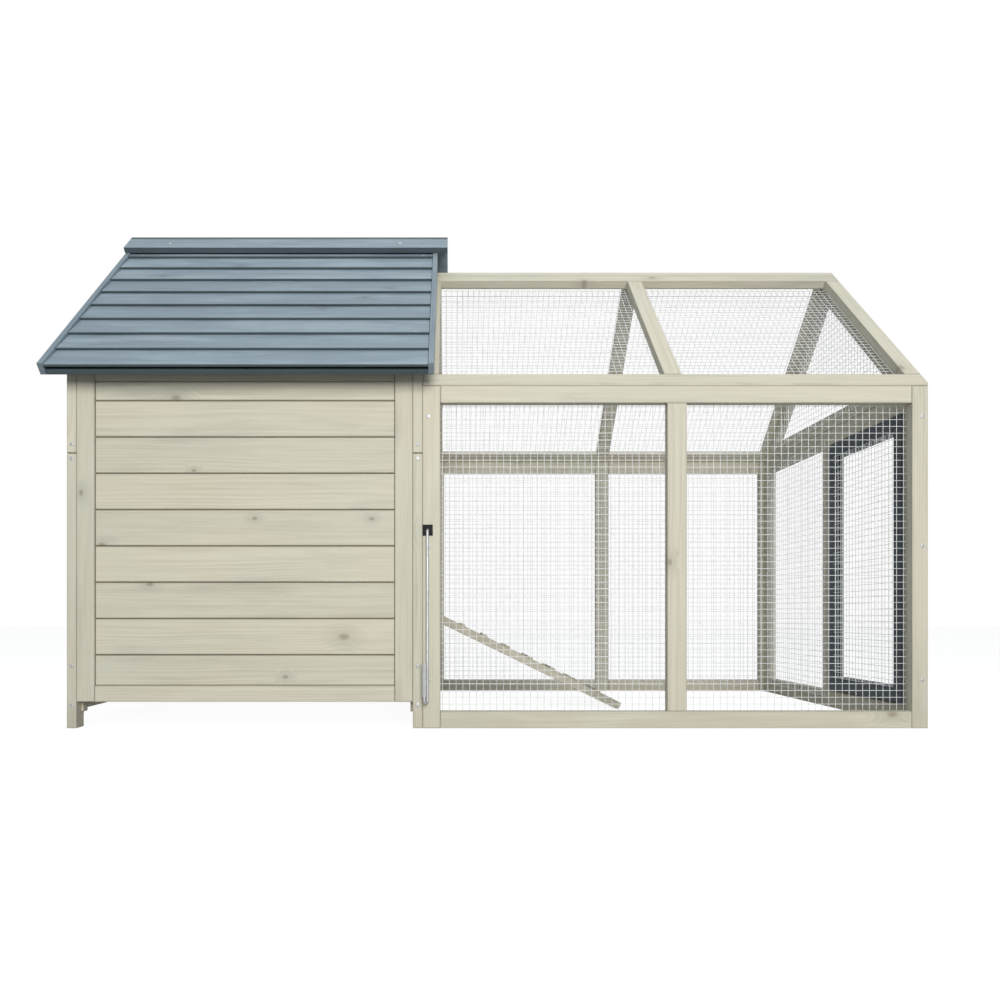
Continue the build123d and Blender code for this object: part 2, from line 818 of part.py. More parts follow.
def run_roof_frame(head):
    """A panel's rails and rafters on the front slope, from the seat on the front frame to head."""
    with BuildSketch(slope_plane(run_ridge, run_pitch, -run_thick)) as members:
        foot = -run_slope + rail_width
        patch(run_left, run_right, -run_slope - run_thick, foot)
        patch(run_left, run_right, -head - rail_width, -head)
        for x0, x1 in (
            (run_left, roof_in_left),
            (mid_rafter_left, mid_rafter_right),
            (roof_in_right, run_right),
        ):
            patch(x0, x1, foot + joint_gap, -head - rail_width - joint_gap)
    extrude(members.sketch, amount=run_thick)
    waste = 2 * rail_width
    block(run_left, run_right, front - waste, front + waste, seat_level - waste, seat_level, mode=Mode.SUBTRACT)
    block(run_left, run_right, front - waste, front, seat_level - waste, seat_level + waste, mode=Mode.SUBTRACT)


def run_roof_net(head):
    """The panel's net on its underside, clear of the frame that it stands on."""
    tail = (depth / 2 - run_thick) / cos(radians(run_pitch)) - net_deep - seat_gap
    under_face = slope_plane(run_ridge, run_pitch, -run_thick - joint_gap)
    net(under_face, roof_in_left - net_lap, side_panel_left - seat_gap, -tail, -head - rail_width + net_lap)


with BuildPart() as run_roof_front_frame:
    run_roof_frame(run_thick + ridge_joint)
save(run_roof_front_frame, "run_roof_front_frame")

with BuildPart() as run_roof_front_net:
    run_roof_net(run_thick + ridge_joint)
save(run_roof_front_net, "run_roof_front_net")

with BuildPart() as back_panel_frame:
    run_roof_frame(0)

with BuildPart() as run_roof_back_frame:
    mirror(back_panel_frame.part, about=Plane.XZ)
save(run_roof_back_frame, "run_roof_back_frame")

with BuildPart() as back_panel_net:
    run_roof_net(run_thick)

with BuildPart() as run_roof_back_net:
    mirror(back_panel_net.part, about=Plane.XZ)
save(run_roof_back_net, "run_roof_back_net")

# Run door in the side panel's opening, flush with its outer face
run_door_front = opening_front + door_gap
run_door_back = opening_back - door_gap
run_door_low = opening_low + door_gap
run_door_high = opening_high - door_gap
run_door_inner = run_right - run_door_thick

with BuildPart() as run_door_frame:
    with BuildSketch(face_x(run_door_inner)):
        patch(run_door_front, run_door_front + run_door_stile, run_door_low, run_door_high)
        patch(run_door_back - run_door_stile, run_door_back, run_door_low, run_door_high)
        between = (run_door_front + run_door_stile + joint_gap, run_door_back - run_door_stile - joint_gap)
        patch(*between, run_door_low, run_door_low + run_door_rail)
        patch(*between, run_door_high - run_door_rail, run_door_high)
    extrude(amount=run_door_thick)
save(run_door_frame, "run_door_frame")

with BuildPart() as run_door_net:
    net(
        face_x(run_door_inner - joint_gap),
        between[0] - net_lap,
        between[1] + net_lap,
        run_door_low + run_door_rail - net_lap,
        run_door_high - run_door_rail + net_lap,
    )
save(run_door_net, "run_door_net")

# Butt hinges. In a hinge's own frame the pin is on Z, the frame's leaf reaches to -X, the door's to
# +X, and both lie on the face below the pin
knuckle_joint = seat_gap


def hinge_leaf(side, spans, width):
    """A leaf with its knuckles, over the given spans of the pin."""
    half = hinge_length / 2
    clear = knuckle_radius + 2 * knuckle_off
    lift = leaf_thick - door_axis_off
    x0, x1 = sorted((side * clear, side * width))
    block(x0, x1, -door_axis_off, lift, -half, half)
    for z0, z1 in spans:
        x0, x1 = sorted((0, side * (clear + leaf_thick)))
        block(x0, x1, -door_axis_off, lift, z0, z1)
        with Locations((0, 0, (z0 + z1) / 2)):
            Cylinder(knuckle_radius, z1 - z0)
            Cylinder(pin_radius + pin_gap, z1 - z0 + knuckle_joint, mode=Mode.SUBTRACT)


def frame_leaf(width):
    """The leaf with the two outer knuckles."""
    half = hinge_length / 2
    inner = middle_knuckle / 2 + knuckle_joint
    hinge_leaf(-1, ((-half, -inner), (inner, half)), width)


def door_leaf(width):
    """The leaf with the middle knuckle."""
    hinge_leaf(1, ((-middle_knuckle / 2, middle_knuckle / 2),), width)


run_hinge_x = run_right + door_axis_off
run_hinge_y = opening_front + door_gap / 2
run_hinges = [
    Plane((run_hinge_x, run_hinge_y, z), x_dir=(0, 1, 0), z_dir=(0, 0, -1)).location
    for z in (run_door_low + hinge_from_end, run_door_high - hinge_from_end)
]
house_hinge_x = hatch_left + door_gap / 2
house_hinge_y = back + door_axis_off
house_hinges = [
    Plane((house_hinge_x, house_hinge_y, z), x_dir=(1, 0, 0), z_dir=(0, 0, 1)).location
    for z in (door_low + hinge_from_end, door_high - hinge_from_end)
]
guide_face = house_right + seat_gap + guide_thick
ramp_hinge_x = guide_face + door_axis_off
ramp_middle = pop_front + ramp_width / 2
ramp_pins = [(ramp_hinge_x, ramp_middle + side * ramp_width / 4, ramp_top) for side in (-1, 1)]
ramp_hinges = [Plane(pin, x_dir=(0, 0, 1), z_dir=(0, 1, 0)).location for pin in ramp_pins]
ramp_folded = [Plane(pin, x_dir=(0, 0, -1), z_dir=(0, 1, 0)).location for pin in ramp_pins]

with BuildPart() as hinge_frame_leaves:
    with Locations(*run_hinges, *house_hinges):
        frame_leaf(leaf_width)
    with Locations(*ramp_hinges):
        frame_leaf(ramp_leaf_width)
save(hinge_frame_leaves, "hinge_frame_leaves")

with BuildPart() as hinge_pins:
    with Locations(*run_hinges, *house_hinges, *ramp_hinges):
        Cylinder(pin_radius, hinge_length)
save(hinge_pins, "hinge_pins")

with BuildPart() as run_door_leaves:
    with Locations(*run_hinges):
        door_leaf(leaf_width)
save(run_door_leaves, "run_door_leaves")

with BuildPart() as house_door_leaves:
    with Locations(*house_hinges):
        door_leaf(leaf_width)
save(house_door_leaves, "house_door_leaves")

with BuildPart() as ramp_leaves:
    with Locations(*ramp_folded):
        door_leaf(ramp_leaf_width)
save(ramp_leaves, "ramp_leaves")

# Barrel bolts. In a bolt's own frame it shoots along +X and the door's face is at Z = 0
bolt_outer = bolt_radius + bolt_gap + bolt_wall
strap_top = bolt_axis + bolt_outer
bolt_tip = bolt_plate_length / 2


def bolt_strap(x):
    """A bridge over the bolt, with the bolt's bore through it."""
    with Locations((x, 0, strap_top / 2)):
        Box(bolt_strap_length, 2 * bolt_outer, strap_top)
    with Locations(Location((x, 0, bolt_axis), (0, 90, 0))):
        Cylinder(bolt_radius + bolt_gap, bolt_strap_length, mode=Mode.SUBTRACT)


def bolt_bracket():
    """The plate on the door with its two straps."""
    with Locations((0, 0, bolt_plate_thick / 2)):
        Box(bolt_plate_length, bolt_plate_width, bolt_plate_thick)
    for side in (-1, 1):
        bolt_strap(side * (bolt_plate_length - bolt_strap_length) / 2)


def bolt_keeper(x):
    """The strap on the frame that the bolt shoots into."""
    with Locations((x, 0, bolt_plate_thick / 2)):
        Box(bolt_strap_length, bolt_plate_width, bolt_plate_thick)
    bolt_strap(x)


def bolt_bar():
    """The bolt, drawn back, with its knob between the straps."""
    with Locations(Location((bolt_tip - bolt_length / 2, 0, bolt_axis), (0, 90, 0))):
        Cylinder(bolt_radius, bolt_length)
    knob_x = -bolt_tip + bolt_strap_length + bolt_knob_radius + bolt_knob_gap
    knob_z = bolt_axis + bolt_knob_length / 2
    with Locations((knob_x, 0, knob_z)):
        Cylinder(bolt_knob_radius, bolt_knob_length)


bolt_centre = bolt_plate_length / 2 + bolt_plate_inset
keeper_x = bolt_centre + door_gap + keeper_inset + bolt_strap_length / 2
run_bolt = Plane(
    (run_right, run_door_back - bolt_centre, run_door_high - run_door_rail / 2),
    x_dir=(0, 1, 0),
    z_dir=(1, 0, 0),
).location
house_bolt = Plane(
    (door_right - bolt_centre, back, door_high - rail_width / 2),
    x_dir=(1, 0, 0),
    z_dir=(0, 1, 0),
).location

with BuildPart() as run_door_bolt_bracket:
    with Locations(run_bolt):
        bolt_bracket()
save(run_door_bolt_bracket, "run_door_bolt_bracket")

with BuildPart() as run_door_bolt:
    with Locations(run_bolt):
        bolt_bar()
save(run_door_bolt, "run_door_bolt")

with BuildPart() as house_door_bolt_bracket:
    with Locations(house_bolt):
        bolt_bracket()
save(house_door_bolt_bracket, "house_door_bolt_bracket")

with BuildPart() as house_door_bolt:
    with Locations(house_bolt):
        bolt_bar()
save(house_door_bolt, "house_door_bolt")

with BuildPart() as bolt_keepers:
    with Locations(run_bolt, house_bolt):
        bolt_keeper(keeper_x)
save(bolt_keepers, "bolt_keepers")

# Pop door on the run's side of the house's right wall, in two grooved guides
guide_left = house_right + seat_gap
groove_left = guide_left + guide_wall
groove_right = groove_left + pop_door_thick + 2 * slide_gap
pop_door_front = pop_front - pop_door_lap
pop_door_back = pop_back + pop_door_lap
lower_guide_low = pop_sill - guide_height
upper_guide_low = top_rail_base - slide_gap
pop_door_low = pop_sill - groove_depth + slide_gap
pop_door_high = upper_guide_low + groove_depth - slide_gap

with BuildPart() as pop_door_guides:
    with BuildSketch(face_y(pop_door_back + guide_spare)):
        patch(guide_left, guide_face, lower_guide_low, pop_sill)
        patch(guide_left, guide_face, upper_guide_low, upper_guide_low + guide_height)
        patch(groove_left, groove_right, pop_sill - groove_depth, pop_sill, mode=Mode.SUBTRACT)
        patch(groove_left, groove_right, upper_guide_low, upper_guide_low + groove_depth, mode=Mode.SUBTRACT)
    extrude(amount=pop_door_back - pop_door_front + pop_travel + 2 * guide_spare)
save(pop_door_guides, "pop_door_guides")

with BuildPart() as pop_door:
    with BuildSketch(face_x(groove_left + slide_gap)):
        patch(pop_door_front, pop_door_back, pop_door_low, pop_door_high)
    extrude(amount=pop_door_thick)
    with BuildSketch(face_y(pop_door_front)):
        with Locations((rod_x, rod_height)):
            Circle(rod_radius + pin_gap)
    extrude(amount=-rod_in_door - seat_gap, mode=Mode.SUBTRACT)
save(pop_door, "pop_door")

# Pull rod: from the pop door through the front stile, down outside, and up again in a crook
rod_out = front - rod_standoff
crook_x = -crook_width * cos(radians(crook_turn))
crook_y = -crook_width * sin(radians(crook_turn))
crook_foot = Vector(rod_x + crook_x, rod_out + crook_y, rod_low)
crook_head = crook_foot + Vector(0, 0, grip_base + grip_length - rod_low)

with BuildPart() as pop_door_rod:
    with BuildLine() as rod_route:
        FilletPolyline(
            (rod_x, pop_door_front + rod_in_door, rod_height),
            (rod_x, rod_out, rod_height),
            (rod_x, rod_out, rod_low),
            tuple(crook_foot),
            tuple(crook_head),
            radius=[rod_bend, crook_bend, crook_bend],
        )
    with BuildSketch(face_y(pop_door_front + rod_in_door)):
        with Locations((rod_x, rod_height)):
            Circle(rod_radius)
    sweep(path=rod_route.wires()[0])
save(pop_door_rod, "pop_door_rod")

with BuildPart() as rod_grip:
    with BuildSketch(Plane.XY.offset(grip_base)):
        with Locations((crook_foot.X, crook_foot.Y)):
            Circle(grip_radius)
            Circle(rod_radius + pin_gap, mode=Mode.SUBTRACT)
    extrude(amount=grip_length)
save(rod_grip, "rod_grip")

with BuildPart() as rod_guide_plate:
    with BuildSketch(face_y(front)):
        plate_left = run_left
        with Locations((plate_left + plate_width / 2, rod_height)):
            Rectangle(plate_width, plate_height)
        with Locations((rod_x, rod_height)):
            Circle(rod_bore, mode=Mode.SUBTRACT)
    extrude(amount=plate_thick)
save(rod_guide_plate, "rod_guide_plate")

# Ramp, cut upright at its head and level at its foot, with low cleats across it
ramp_lean = radians(ramp_angle)
ramp_head = ramp_hinge_x + door_axis_off
ramp_toe = ramp_head + ramp_run
toe_height = ramp_top - ramp_run * tan(ramp_lean)
ramp_drop = ramp_thick / cos(ramp_lean)
ramp_front = ramp_middle - ramp_width / 2
ramp_back = ramp_middle + ramp_width / 2

with BuildPart() as ramp_board:
    with BuildSketch(face_y(ramp_back)):
        outline(
            [
                (ramp_head, ramp_top),
                (ramp_toe, toe_height),
                (ramp_toe - toe_height * tan(ramp_lean), 0),
                (ramp_head + (ramp_top - ramp_drop) / tan(ramp_lean), 0),
                (ramp_head, ramp_top - ramp_drop),
            ]
        )
    extrude(amount=ramp_width)
save(ramp_board, "ramp_board")

with BuildPart() as ramp_cleats:
    ramp_face = Plane(
        origin=(ramp_head, ramp_middle, ramp_top),
        x_dir=(cos(ramp_lean), 0, -sin(ramp_lean)),
        z_dir=(sin(ramp_lean), 0, cos(ramp_lean)),
    )
    ramp_length = ramp_run / cos(ramp_lean)
    with BuildSketch(ramp_face):
        with Locations((ramp_length / 2, 0)):
            with GridLocations(ramp_length / (cleat_count + 1), ramp_width, cleat_count, 1):
                Rectangle(cleat_width, ramp_width - 2 * cleat_inset)
    extrude(amount=cleat_height)
save(ramp_cleats, "ramp_cleats")

# Screw heads on the faces that they hold
house_screw_x = (house_left + post_thick / 2, house_right - post_thick / 2)
house_screw_z = (
    gable_base + rail_width / 2,
    split_height - house_screw_under_split,
    slot_top + rail_width / 2,
    foot_height + house_screw_over_foot,
)
run_screw_x = (run_left + run_screw_from_left, run_right - run_screw_from_right)
run_screw_z = (run_height - run_screw_under_top, run_height / 2 + run_screw_over_middle, run_screw_low)
cap_screw_x = (cap_left + cap_screw_from_left, cap_right - cap_screw_from_right)


def screw_heads(plane, columns, rows):
    """Low screw heads that stand on a plane, one at each crossing of the columns and rows."""
    with BuildSketch(plane) as heads:
        with Locations(*[(column, row) for column in columns for row in rows]):
            RegularPolygon(screw_radius, screw_sides)
    extrude(heads.sketch, amount=screw_height)


with BuildPart() as house_screws:
    screw_heads(face_y(front), house_screw_x, house_screw_z)
    mirror(about=Plane.XZ)
save(house_screws, "house_screws")

with BuildPart() as run_screws:
    screw_heads(face_y(front), run_screw_x, run_screw_z)
    mirror(about=Plane.XZ)
save(run_screws, "run_screws")

with BuildPart() as roof_screws:
    screw_heads(slope_plane(house_ridge, house_pitch, cap_high), cap_screw_x, [-cap_front_width / 2])
save(roof_screws, "roof_screws")
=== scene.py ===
import bmesh
import bpy
import json
from math import pi, radians
from bpy.props import FloatProperty, FloatVectorProperty, IntProperty, PointerProperty
from mathutils import Matrix, Vector
from mathutils.bvhtree import BVHTree

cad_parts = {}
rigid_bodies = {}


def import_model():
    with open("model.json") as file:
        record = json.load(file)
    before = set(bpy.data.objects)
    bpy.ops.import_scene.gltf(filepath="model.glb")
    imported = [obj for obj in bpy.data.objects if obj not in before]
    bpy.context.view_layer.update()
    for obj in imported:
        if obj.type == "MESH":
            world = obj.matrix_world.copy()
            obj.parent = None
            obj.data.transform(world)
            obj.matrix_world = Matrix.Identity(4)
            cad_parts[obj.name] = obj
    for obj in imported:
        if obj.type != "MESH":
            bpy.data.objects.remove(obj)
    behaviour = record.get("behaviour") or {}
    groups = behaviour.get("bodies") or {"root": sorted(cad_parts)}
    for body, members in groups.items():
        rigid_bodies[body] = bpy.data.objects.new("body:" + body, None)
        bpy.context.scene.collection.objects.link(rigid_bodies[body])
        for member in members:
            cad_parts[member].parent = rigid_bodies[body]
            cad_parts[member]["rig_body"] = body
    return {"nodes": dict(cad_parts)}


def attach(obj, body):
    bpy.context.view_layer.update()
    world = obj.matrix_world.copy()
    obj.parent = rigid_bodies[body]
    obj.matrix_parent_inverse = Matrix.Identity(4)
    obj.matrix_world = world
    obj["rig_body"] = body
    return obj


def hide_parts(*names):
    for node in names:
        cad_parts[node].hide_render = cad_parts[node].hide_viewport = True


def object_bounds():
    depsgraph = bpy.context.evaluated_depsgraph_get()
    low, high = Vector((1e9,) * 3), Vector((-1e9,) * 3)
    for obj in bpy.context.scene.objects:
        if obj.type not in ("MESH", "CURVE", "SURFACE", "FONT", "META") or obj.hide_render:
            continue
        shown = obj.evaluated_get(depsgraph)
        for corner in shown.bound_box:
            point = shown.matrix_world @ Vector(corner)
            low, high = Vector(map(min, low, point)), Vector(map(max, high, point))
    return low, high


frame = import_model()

# The looks of a wooden chicken coop with a netted run: planed and limewashed lumber, painted roof boards
# and doors, welded wire net, zinc hardware. Metres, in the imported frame.

bl_info = {
    "name": "Chicken coop finishes",
    "version": (1, 0, 0),
    "blender": (4, 5, 0),
    "location": "3D View > Sidebar > Coop",
    "description": "Dresses the chicken coop and its run with lumber, paint, wire net and hardware",
    "category": "Object",
}

cad_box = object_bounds()

# Nodes by their finish
ROOF_TIMBER = (
    "roof_front_frame",
    "roof_back_frame",
    "roof_front_boards",
    "roof_back_boards",
    "ridge_cap_front",
    "ridge_cap_back",
)
ROOF_FRAMES = ROOF_TIMBER[:2]
DOOR_TIMBER = ("run_door_frame", "house_door_frame", "house_door_boards")
NETS = (
    "run_front_net",
    "run_back_net",
    "run_side_net",
    "run_door_net",
    "run_gable_net",
    "run_roof_front_net",
    "run_roof_back_net",
)
HINGES = ("hinge_frame_leaves", "run_door_leaves", "house_door_leaves", "ramp_leaves")
ZINC = HINGES + (
    "hinge_pins",
    "run_door_bolt_bracket",
    "run_door_bolt",
    "house_door_bolt_bracket",
    "house_door_bolt",
    "bolt_keepers",
    "tray_pull",
    "pop_door_rod",
)
SCREWS = ("house_screws", "run_screws", "roof_screws")
# X and Z of the screws that hold the roof boards to the front battens
BOARD_SCREWS = ((-0.7752, 1.0264), (-0.1398, 1.0264), (-0.1449, 0.7502))
OTHER = {"rod_grip": "grip_plastic", "rod_guide_plate": "black_plastic", "tray_base": "tray_sheet"}
BARE_TIMBER = tuple(
    name
    for name in sorted(frame["nodes"])
    if name not in ROOF_TIMBER + DOOR_TIMBER + ZINC + SCREWS + NETS + tuple(OTHER)
)

# How far from an arris or an end the painted shade of joints, laps and ends, and the marks of wear, reach
JOINT_SHADE_DEPTH = 0.0021
RUB_DEPTH = 0.0040
PAINT_RUB_DEPTH = 0.0026
LAP_SHADE_DEPTH = 0.0011
END_SHADOW = 0.0014
END_FACE = (0.0001, 0.0005)
# How strongly the painted shade of joints and laps marks boards, which have it all round, and rails and
# posts
BOARD_SEAM = 1.0
FRAME_SEAM = 0.25
# How high above the ground the wood's feet are damp
DAMP_HEIGHT = 0.035


# Sizes and colours that a user would change


def colour(name, description, default):
    """A colour property."""
    return FloatVectorProperty(
        name=name, description=description, default=default, subtype="COLOR", size=3, min=0, max=1
    )


def length(name, description, default):
    """A length property, in metres."""
    return FloatProperty(
        name=name, description=description, default=default, unit="LENGTH", min=0, precision=5
    )


class TimberSettings(bpy.types.PropertyGroup):
    """Sizes and colours of the lumber."""

    arris: length("Arris", "Width of the eased edge of a board or a post", 0.0009)
    ring_pitch: length("Ring pitch", "Distance between two growth rings", 0.0036)
    knot_spacing: length("Knot spacing", "Typical distance between two knots", 0.15)
    knot_radius: length("Knot radius", "Largest radius of a knot", 0.0075)
    joint_arris: length("Joint arris", "Width of the eased edge of a wall or roof board", 0.0014)
    pale: colour("Pale", "Limewashed wood between the rings", (0.675, 0.645, 0.535))
    late: colour("Late wood", "The darker part of a growth ring", (0.52, 0.475, 0.37))
    grey: colour("Grey", "Wood that has weathered under the limewash", (0.47, 0.46, 0.39))
    # The joint colour is painted shade, for the gaps between boards.
    joint: colour("Joint", "Dirt in a joint between two boards", (0.040, 0.034, 0.024))
    knot: colour("Knot", "Heart of a knot", (0.27, 0.205, 0.135))


class PaintSettings(bpy.types.PropertyGroup):
    """Colours of the paints."""

    roof: colour("Roof", "Paint of the roof boards", (0.225, 0.29, 0.345))
    roof_worn: colour("Roof worn", "Roof paint where it is thin", (0.37, 0.455, 0.51))
    # The dark roof colour is also painted shade on the laps, the board ends and the roof battens.
    roof_dark: colour("Roof dark", "Roof paint in the deep of the grain", (0.040, 0.058, 0.064))
    door: colour("Door", "Paint of the doors", (0.016, 0.031, 0.047))
    door_worn: colour("Door worn", "Door paint where it is thin", (0.062, 0.095, 0.12))
    # The dark door colour is also painted shade on the laps and the board ends.
    door_dark: colour("Door dark", "Door paint in the deep of the grain", (0.008, 0.013, 0.020))


class NetSettings(bpy.types.PropertyGroup):
    """Sizes and colour of the wire net."""

    pitch: length("Pitch", "Distance between two wires", 0.0127)
    wire: length("Wire", "Radius of a wire", 0.0005)
    door_inset: length("Door inset", "How far the door's net stops short of its lap on the frame", 0.012)
    sides: IntProperty(name="Sides", description="Sides of a wire", default=6, min=3)
    tint: colour("Tint", "Colour of the galvanised wire", (0.90, 0.91, 0.91))


class FixingSettings(bpy.types.PropertyGroup):
    """Sizes of the screws and nails."""

    screw_radius: length("Screw radius", "Radius of a screw's head", 0.0040)
    screw_rise: length("Screw rise", "Height of a screw's head", 0.0013)
    leaf_screw_radius: length("Leaf screw radius", "Radius of a hinge screw's head", 0.0022)
    board_screw_radius: length("Board screw radius", "Radius of a roof board screw's head", 0.0030)
    nail_radius: length("Nail radius", "Radius of a nail's head", 0.0011)
    nail_inset: length("Nail inset", "From the end of a board to its nails", 0.011)
    zinc: colour("Zinc", "Colour of the plated steel", (0.47, 0.48, 0.485))


class StageSettings(bpy.types.PropertyGroup):
    """Camera, lamps and floor."""

    lens: FloatProperty(name="Lens", description="Focal length in millimetres", default=28.44)
    place: FloatVectorProperty(
        name="Place",
        description="Where the camera stands",
        default=(-0.07745, -1.834, 0.208),
        subtype="XYZ",
    )
    shift_x: FloatProperty(name="Shift X", description="Sideways shift of the frame", default=0.049)
    shift_y: FloatProperty(name="Shift Y", description="Upward shift of the frame", default=0.116)
    sky: FloatProperty(name="Sky", description="Light from all around", default=0.28)
    key: FloatProperty(name="Key", description="Power of the lamp above the front", default=156.0)
    top: FloatProperty(name="Top", description="Power of the lamp overhead", default=22.0)


class CoopSettings(bpy.types.PropertyGroup):
    """Everything that the panel shows."""

    timber: PointerProperty(type=TimberSettings)
    paint: PointerProperty(type=PaintSettings)
    net: PointerProperty(type=NetSettings)
    fixing: PointerProperty(type=FixingSettings)
    stage: PointerProperty(type=StageSettings)


# Node trees


def add(tree, kind, inputs=None, **settings):
    """A node with its settings made and its inputs linked or set."""
    node = tree.nodes.new(kind)
    for name, value in settings.items():
        setattr(node, name, value)
    for key, value in (inputs or {}).items():
        if isinstance(value, bpy.types.NodeSocket):
            tree.links.new(value, node.inputs[key])
        else:
            node.inputs[key].default_value = value
    return node


def calc(tree, operation, *values):
    """The output of a Math node."""
    node = add(tree, "ShaderNodeMath", dict(enumerate(values)), operation=operation)
    return node.outputs[0]


def along(tree, operation, *values):
    """The output of a Vector Math node."""
    node = add(tree, "ShaderNodeVectorMath", operation=operation)
    slots = [0, "Scale"] if operation == "SCALE" else [0, 1]
    for slot, value in zip(slots, values):
        if isinstance(value, bpy.types.NodeSocket):
            tree.links.new(value, node.inputs[slot])
        else:
            node.inputs[slot].default_value = value
    return node.outputs["Value" if operation in ("LENGTH", "DISTANCE") else "Vector"]


def spread(tree, value, low, high, to_low=0.0, to_high=1.0):
    """A value between low and high, eased onto another span."""
    node = add(
        tree,
        "ShaderNodeMapRange",
        {"Value": value, "From Min": low, "From Max": high, "To Min": to_low, "To Max": to_high},
        interpolation_type="SMOOTHSTEP",
    )
    return node.outputs["Result"]


def noise(tree, vector, scale=1.0, detail=2.0, roughness=0.5):
    """The value of a Noise texture."""
    inputs = {"Vector": vector, "Scale": scale, "Detail": detail, "Roughness": roughness}
    return add(tree, "ShaderNodeTexNoise", inputs).outputs["Fac"]


def blend(tree, factor, first, second, mode="MIX"):
    """A colour between two colours."""
    node = tree.nodes.new("ShaderNodeMix")
    node.data_type = "RGBA"
    node.blend_type = mode
    for slot, value in ((0, factor), (6, first), (7, second)):
        if isinstance(value, bpy.types.NodeSocket):
            tree.links.new(value, node.inputs[slot])
        elif slot == 0:
            node.inputs[slot].default_value = value
        else:
            node.inputs[slot].default_value = (*value[:3], 1.0)
    return node.outputs[2]


def directly_seen(tree):
    """1 for what the camera sees straight, through glass or in a reflection, 0 for light that bounces."""
    ray = tree.nodes.new("ShaderNodeLightPath").outputs
    seen = calc(tree, "MAXIMUM", ray["Is Camera Ray"], ray["Is Transmission Ray"])
    return calc(tree, "MAXIMUM", seen, ray["Is Glossy Ray"])


def new_material(name):
    """An empty material: its tree and its Principled shader."""
    material = bpy.data.materials.new(name)
    material.use_nodes = True
    tree = material.node_tree
    tree.nodes.clear()
    shader = tree.nodes.new("ShaderNodeBsdfPrincipled")
    output = tree.nodes.new("ShaderNodeOutputMaterial")
    tree.links.new(shader.outputs["BSDF"], output.inputs["Surface"])
    return material, tree, shader


def roughened(tree, shader, pattern, low, high):
    """Gives the shader a roughness between two values, after a pattern."""
    tree.links.new(spread(tree, pattern, 0.3, 0.7, low, high), shader.inputs["Roughness"])


def bumped(tree, shader, height, strength, distance):
    """Gives the shader a bump from a height."""
    bump = add(tree, "ShaderNodeBump", {"Height": height, "Strength": strength, "Distance": distance})
    tree.links.new(bump.outputs["Normal"], shader.inputs["Normal"])


# Wood


def board_place(tree):
    """A board's own coordinates and its random numbers.

    X runs along the grain, Y across the board, Z through it. The first place is measured from the
    board's middle, and the second is shifted so that no two boards show the same wood.
    """
    inside = add(tree, "ShaderNodeAttribute", attribute_name="grain").outputs["Vector"]
    chance = add(tree, "ShaderNodeAttribute", attribute_name="board").outputs["Vector"]
    place = along(tree, "ADD", inside, along(tree, "SCALE", chance, 9.0))
    return inside, place, chance


def board_edges(tree, inside):
    """How far a point of a board is from the nearest arris, from the board's end and from its edge."""
    half = add(tree, "ShaderNodeAttribute", attribute_name="half").outputs["Vector"]
    gaps = along(tree, "SUBTRACT", half, along(tree, "ABSOLUTE", inside))
    x, y, z = add(tree, "ShaderNodeSeparateXYZ", {0: gaps}).outputs
    least = calc(tree, "MINIMUM", calc(tree, "MINIMUM", x, y), z)
    most = calc(tree, "MAXIMUM", calc(tree, "MAXIMUM", x, y), z)
    total = calc(tree, "ADD", calc(tree, "ADD", x, y), z)
    return calc(tree, "SUBTRACT", calc(tree, "SUBTRACT", total, least), most), x, y


def painted_joint_shade(tree, arris, end, depth):
    """Painted shade in the joints: all round a wall or roof board, and only at the ends of a rail or a
    post.
    """
    seam = add(tree, "ShaderNodeAttribute", attribute_name="seam").outputs["Fac"]
    beside = calc(tree, "MULTIPLY", spread(tree, arris, 0.0, depth, 1.0, 0.0), seam)
    inside_end = spread(tree, end, *END_FACE)
    across = calc(tree, "MULTIPLY", spread(tree, end, 0.0, depth, 0.75, 0.0), inside_end)
    return calc(tree, "MAXIMUM", beside, across)


def toned(tree, base, luck, swing):
    """A colour made lighter or darker by a board's random number."""
    shade = spread(tree, luck, 0.0, 1.0, 1.0 - swing, 1.0 + swing)
    grey = add(tree, "ShaderNodeCombineColor", {0: shade, 1: shade, 2: shade}).outputs[0]
    return blend(tree, 1.0, base, grey, "MULTIPLY")


def growth_rings(tree, inside, place, chance, pull, pitch):
    """Growth rings round a pith that lies beside the board, as a value that peaks in the late wood."""
    _, y, z = add(tree, "ShaderNodeSeparateXYZ", {0: inside}).outputs
    side, deep, _ = add(tree, "ShaderNodeSeparateXYZ", {0: chance}).outputs
    sway = noise(tree, along(tree, "MULTIPLY", place, (1.5, 7.0, 7.0)), detail=2.5)
    sway = calc(tree, "MULTIPLY_ADD", sway, 0.05, -0.025)
    across = calc(tree, "ADD", calc(tree, "ADD", y, sway), calc(tree, "MULTIPLY_ADD", side, 0.09, -0.045))
    through = calc(tree, "ADD", z, calc(tree, "MULTIPLY_ADD", deep, 0.045, 0.012))
    squares = [calc(tree, "POWER", leg, 2.0) for leg in (across, through)]
    radius = calc(tree, "SQRT", calc(tree, "ADD", *squares))
    count = calc(tree, "ADD", calc(tree, "DIVIDE", radius, pitch), pull)
    within = calc(tree, "FRACT", count)
    rise = spread(tree, within, 0.15, 0.86)
    fall = spread(tree, within, 0.88, 1.0, 1.0, 0.0)
    return calc(tree, "MULTIPLY", rise, fall)


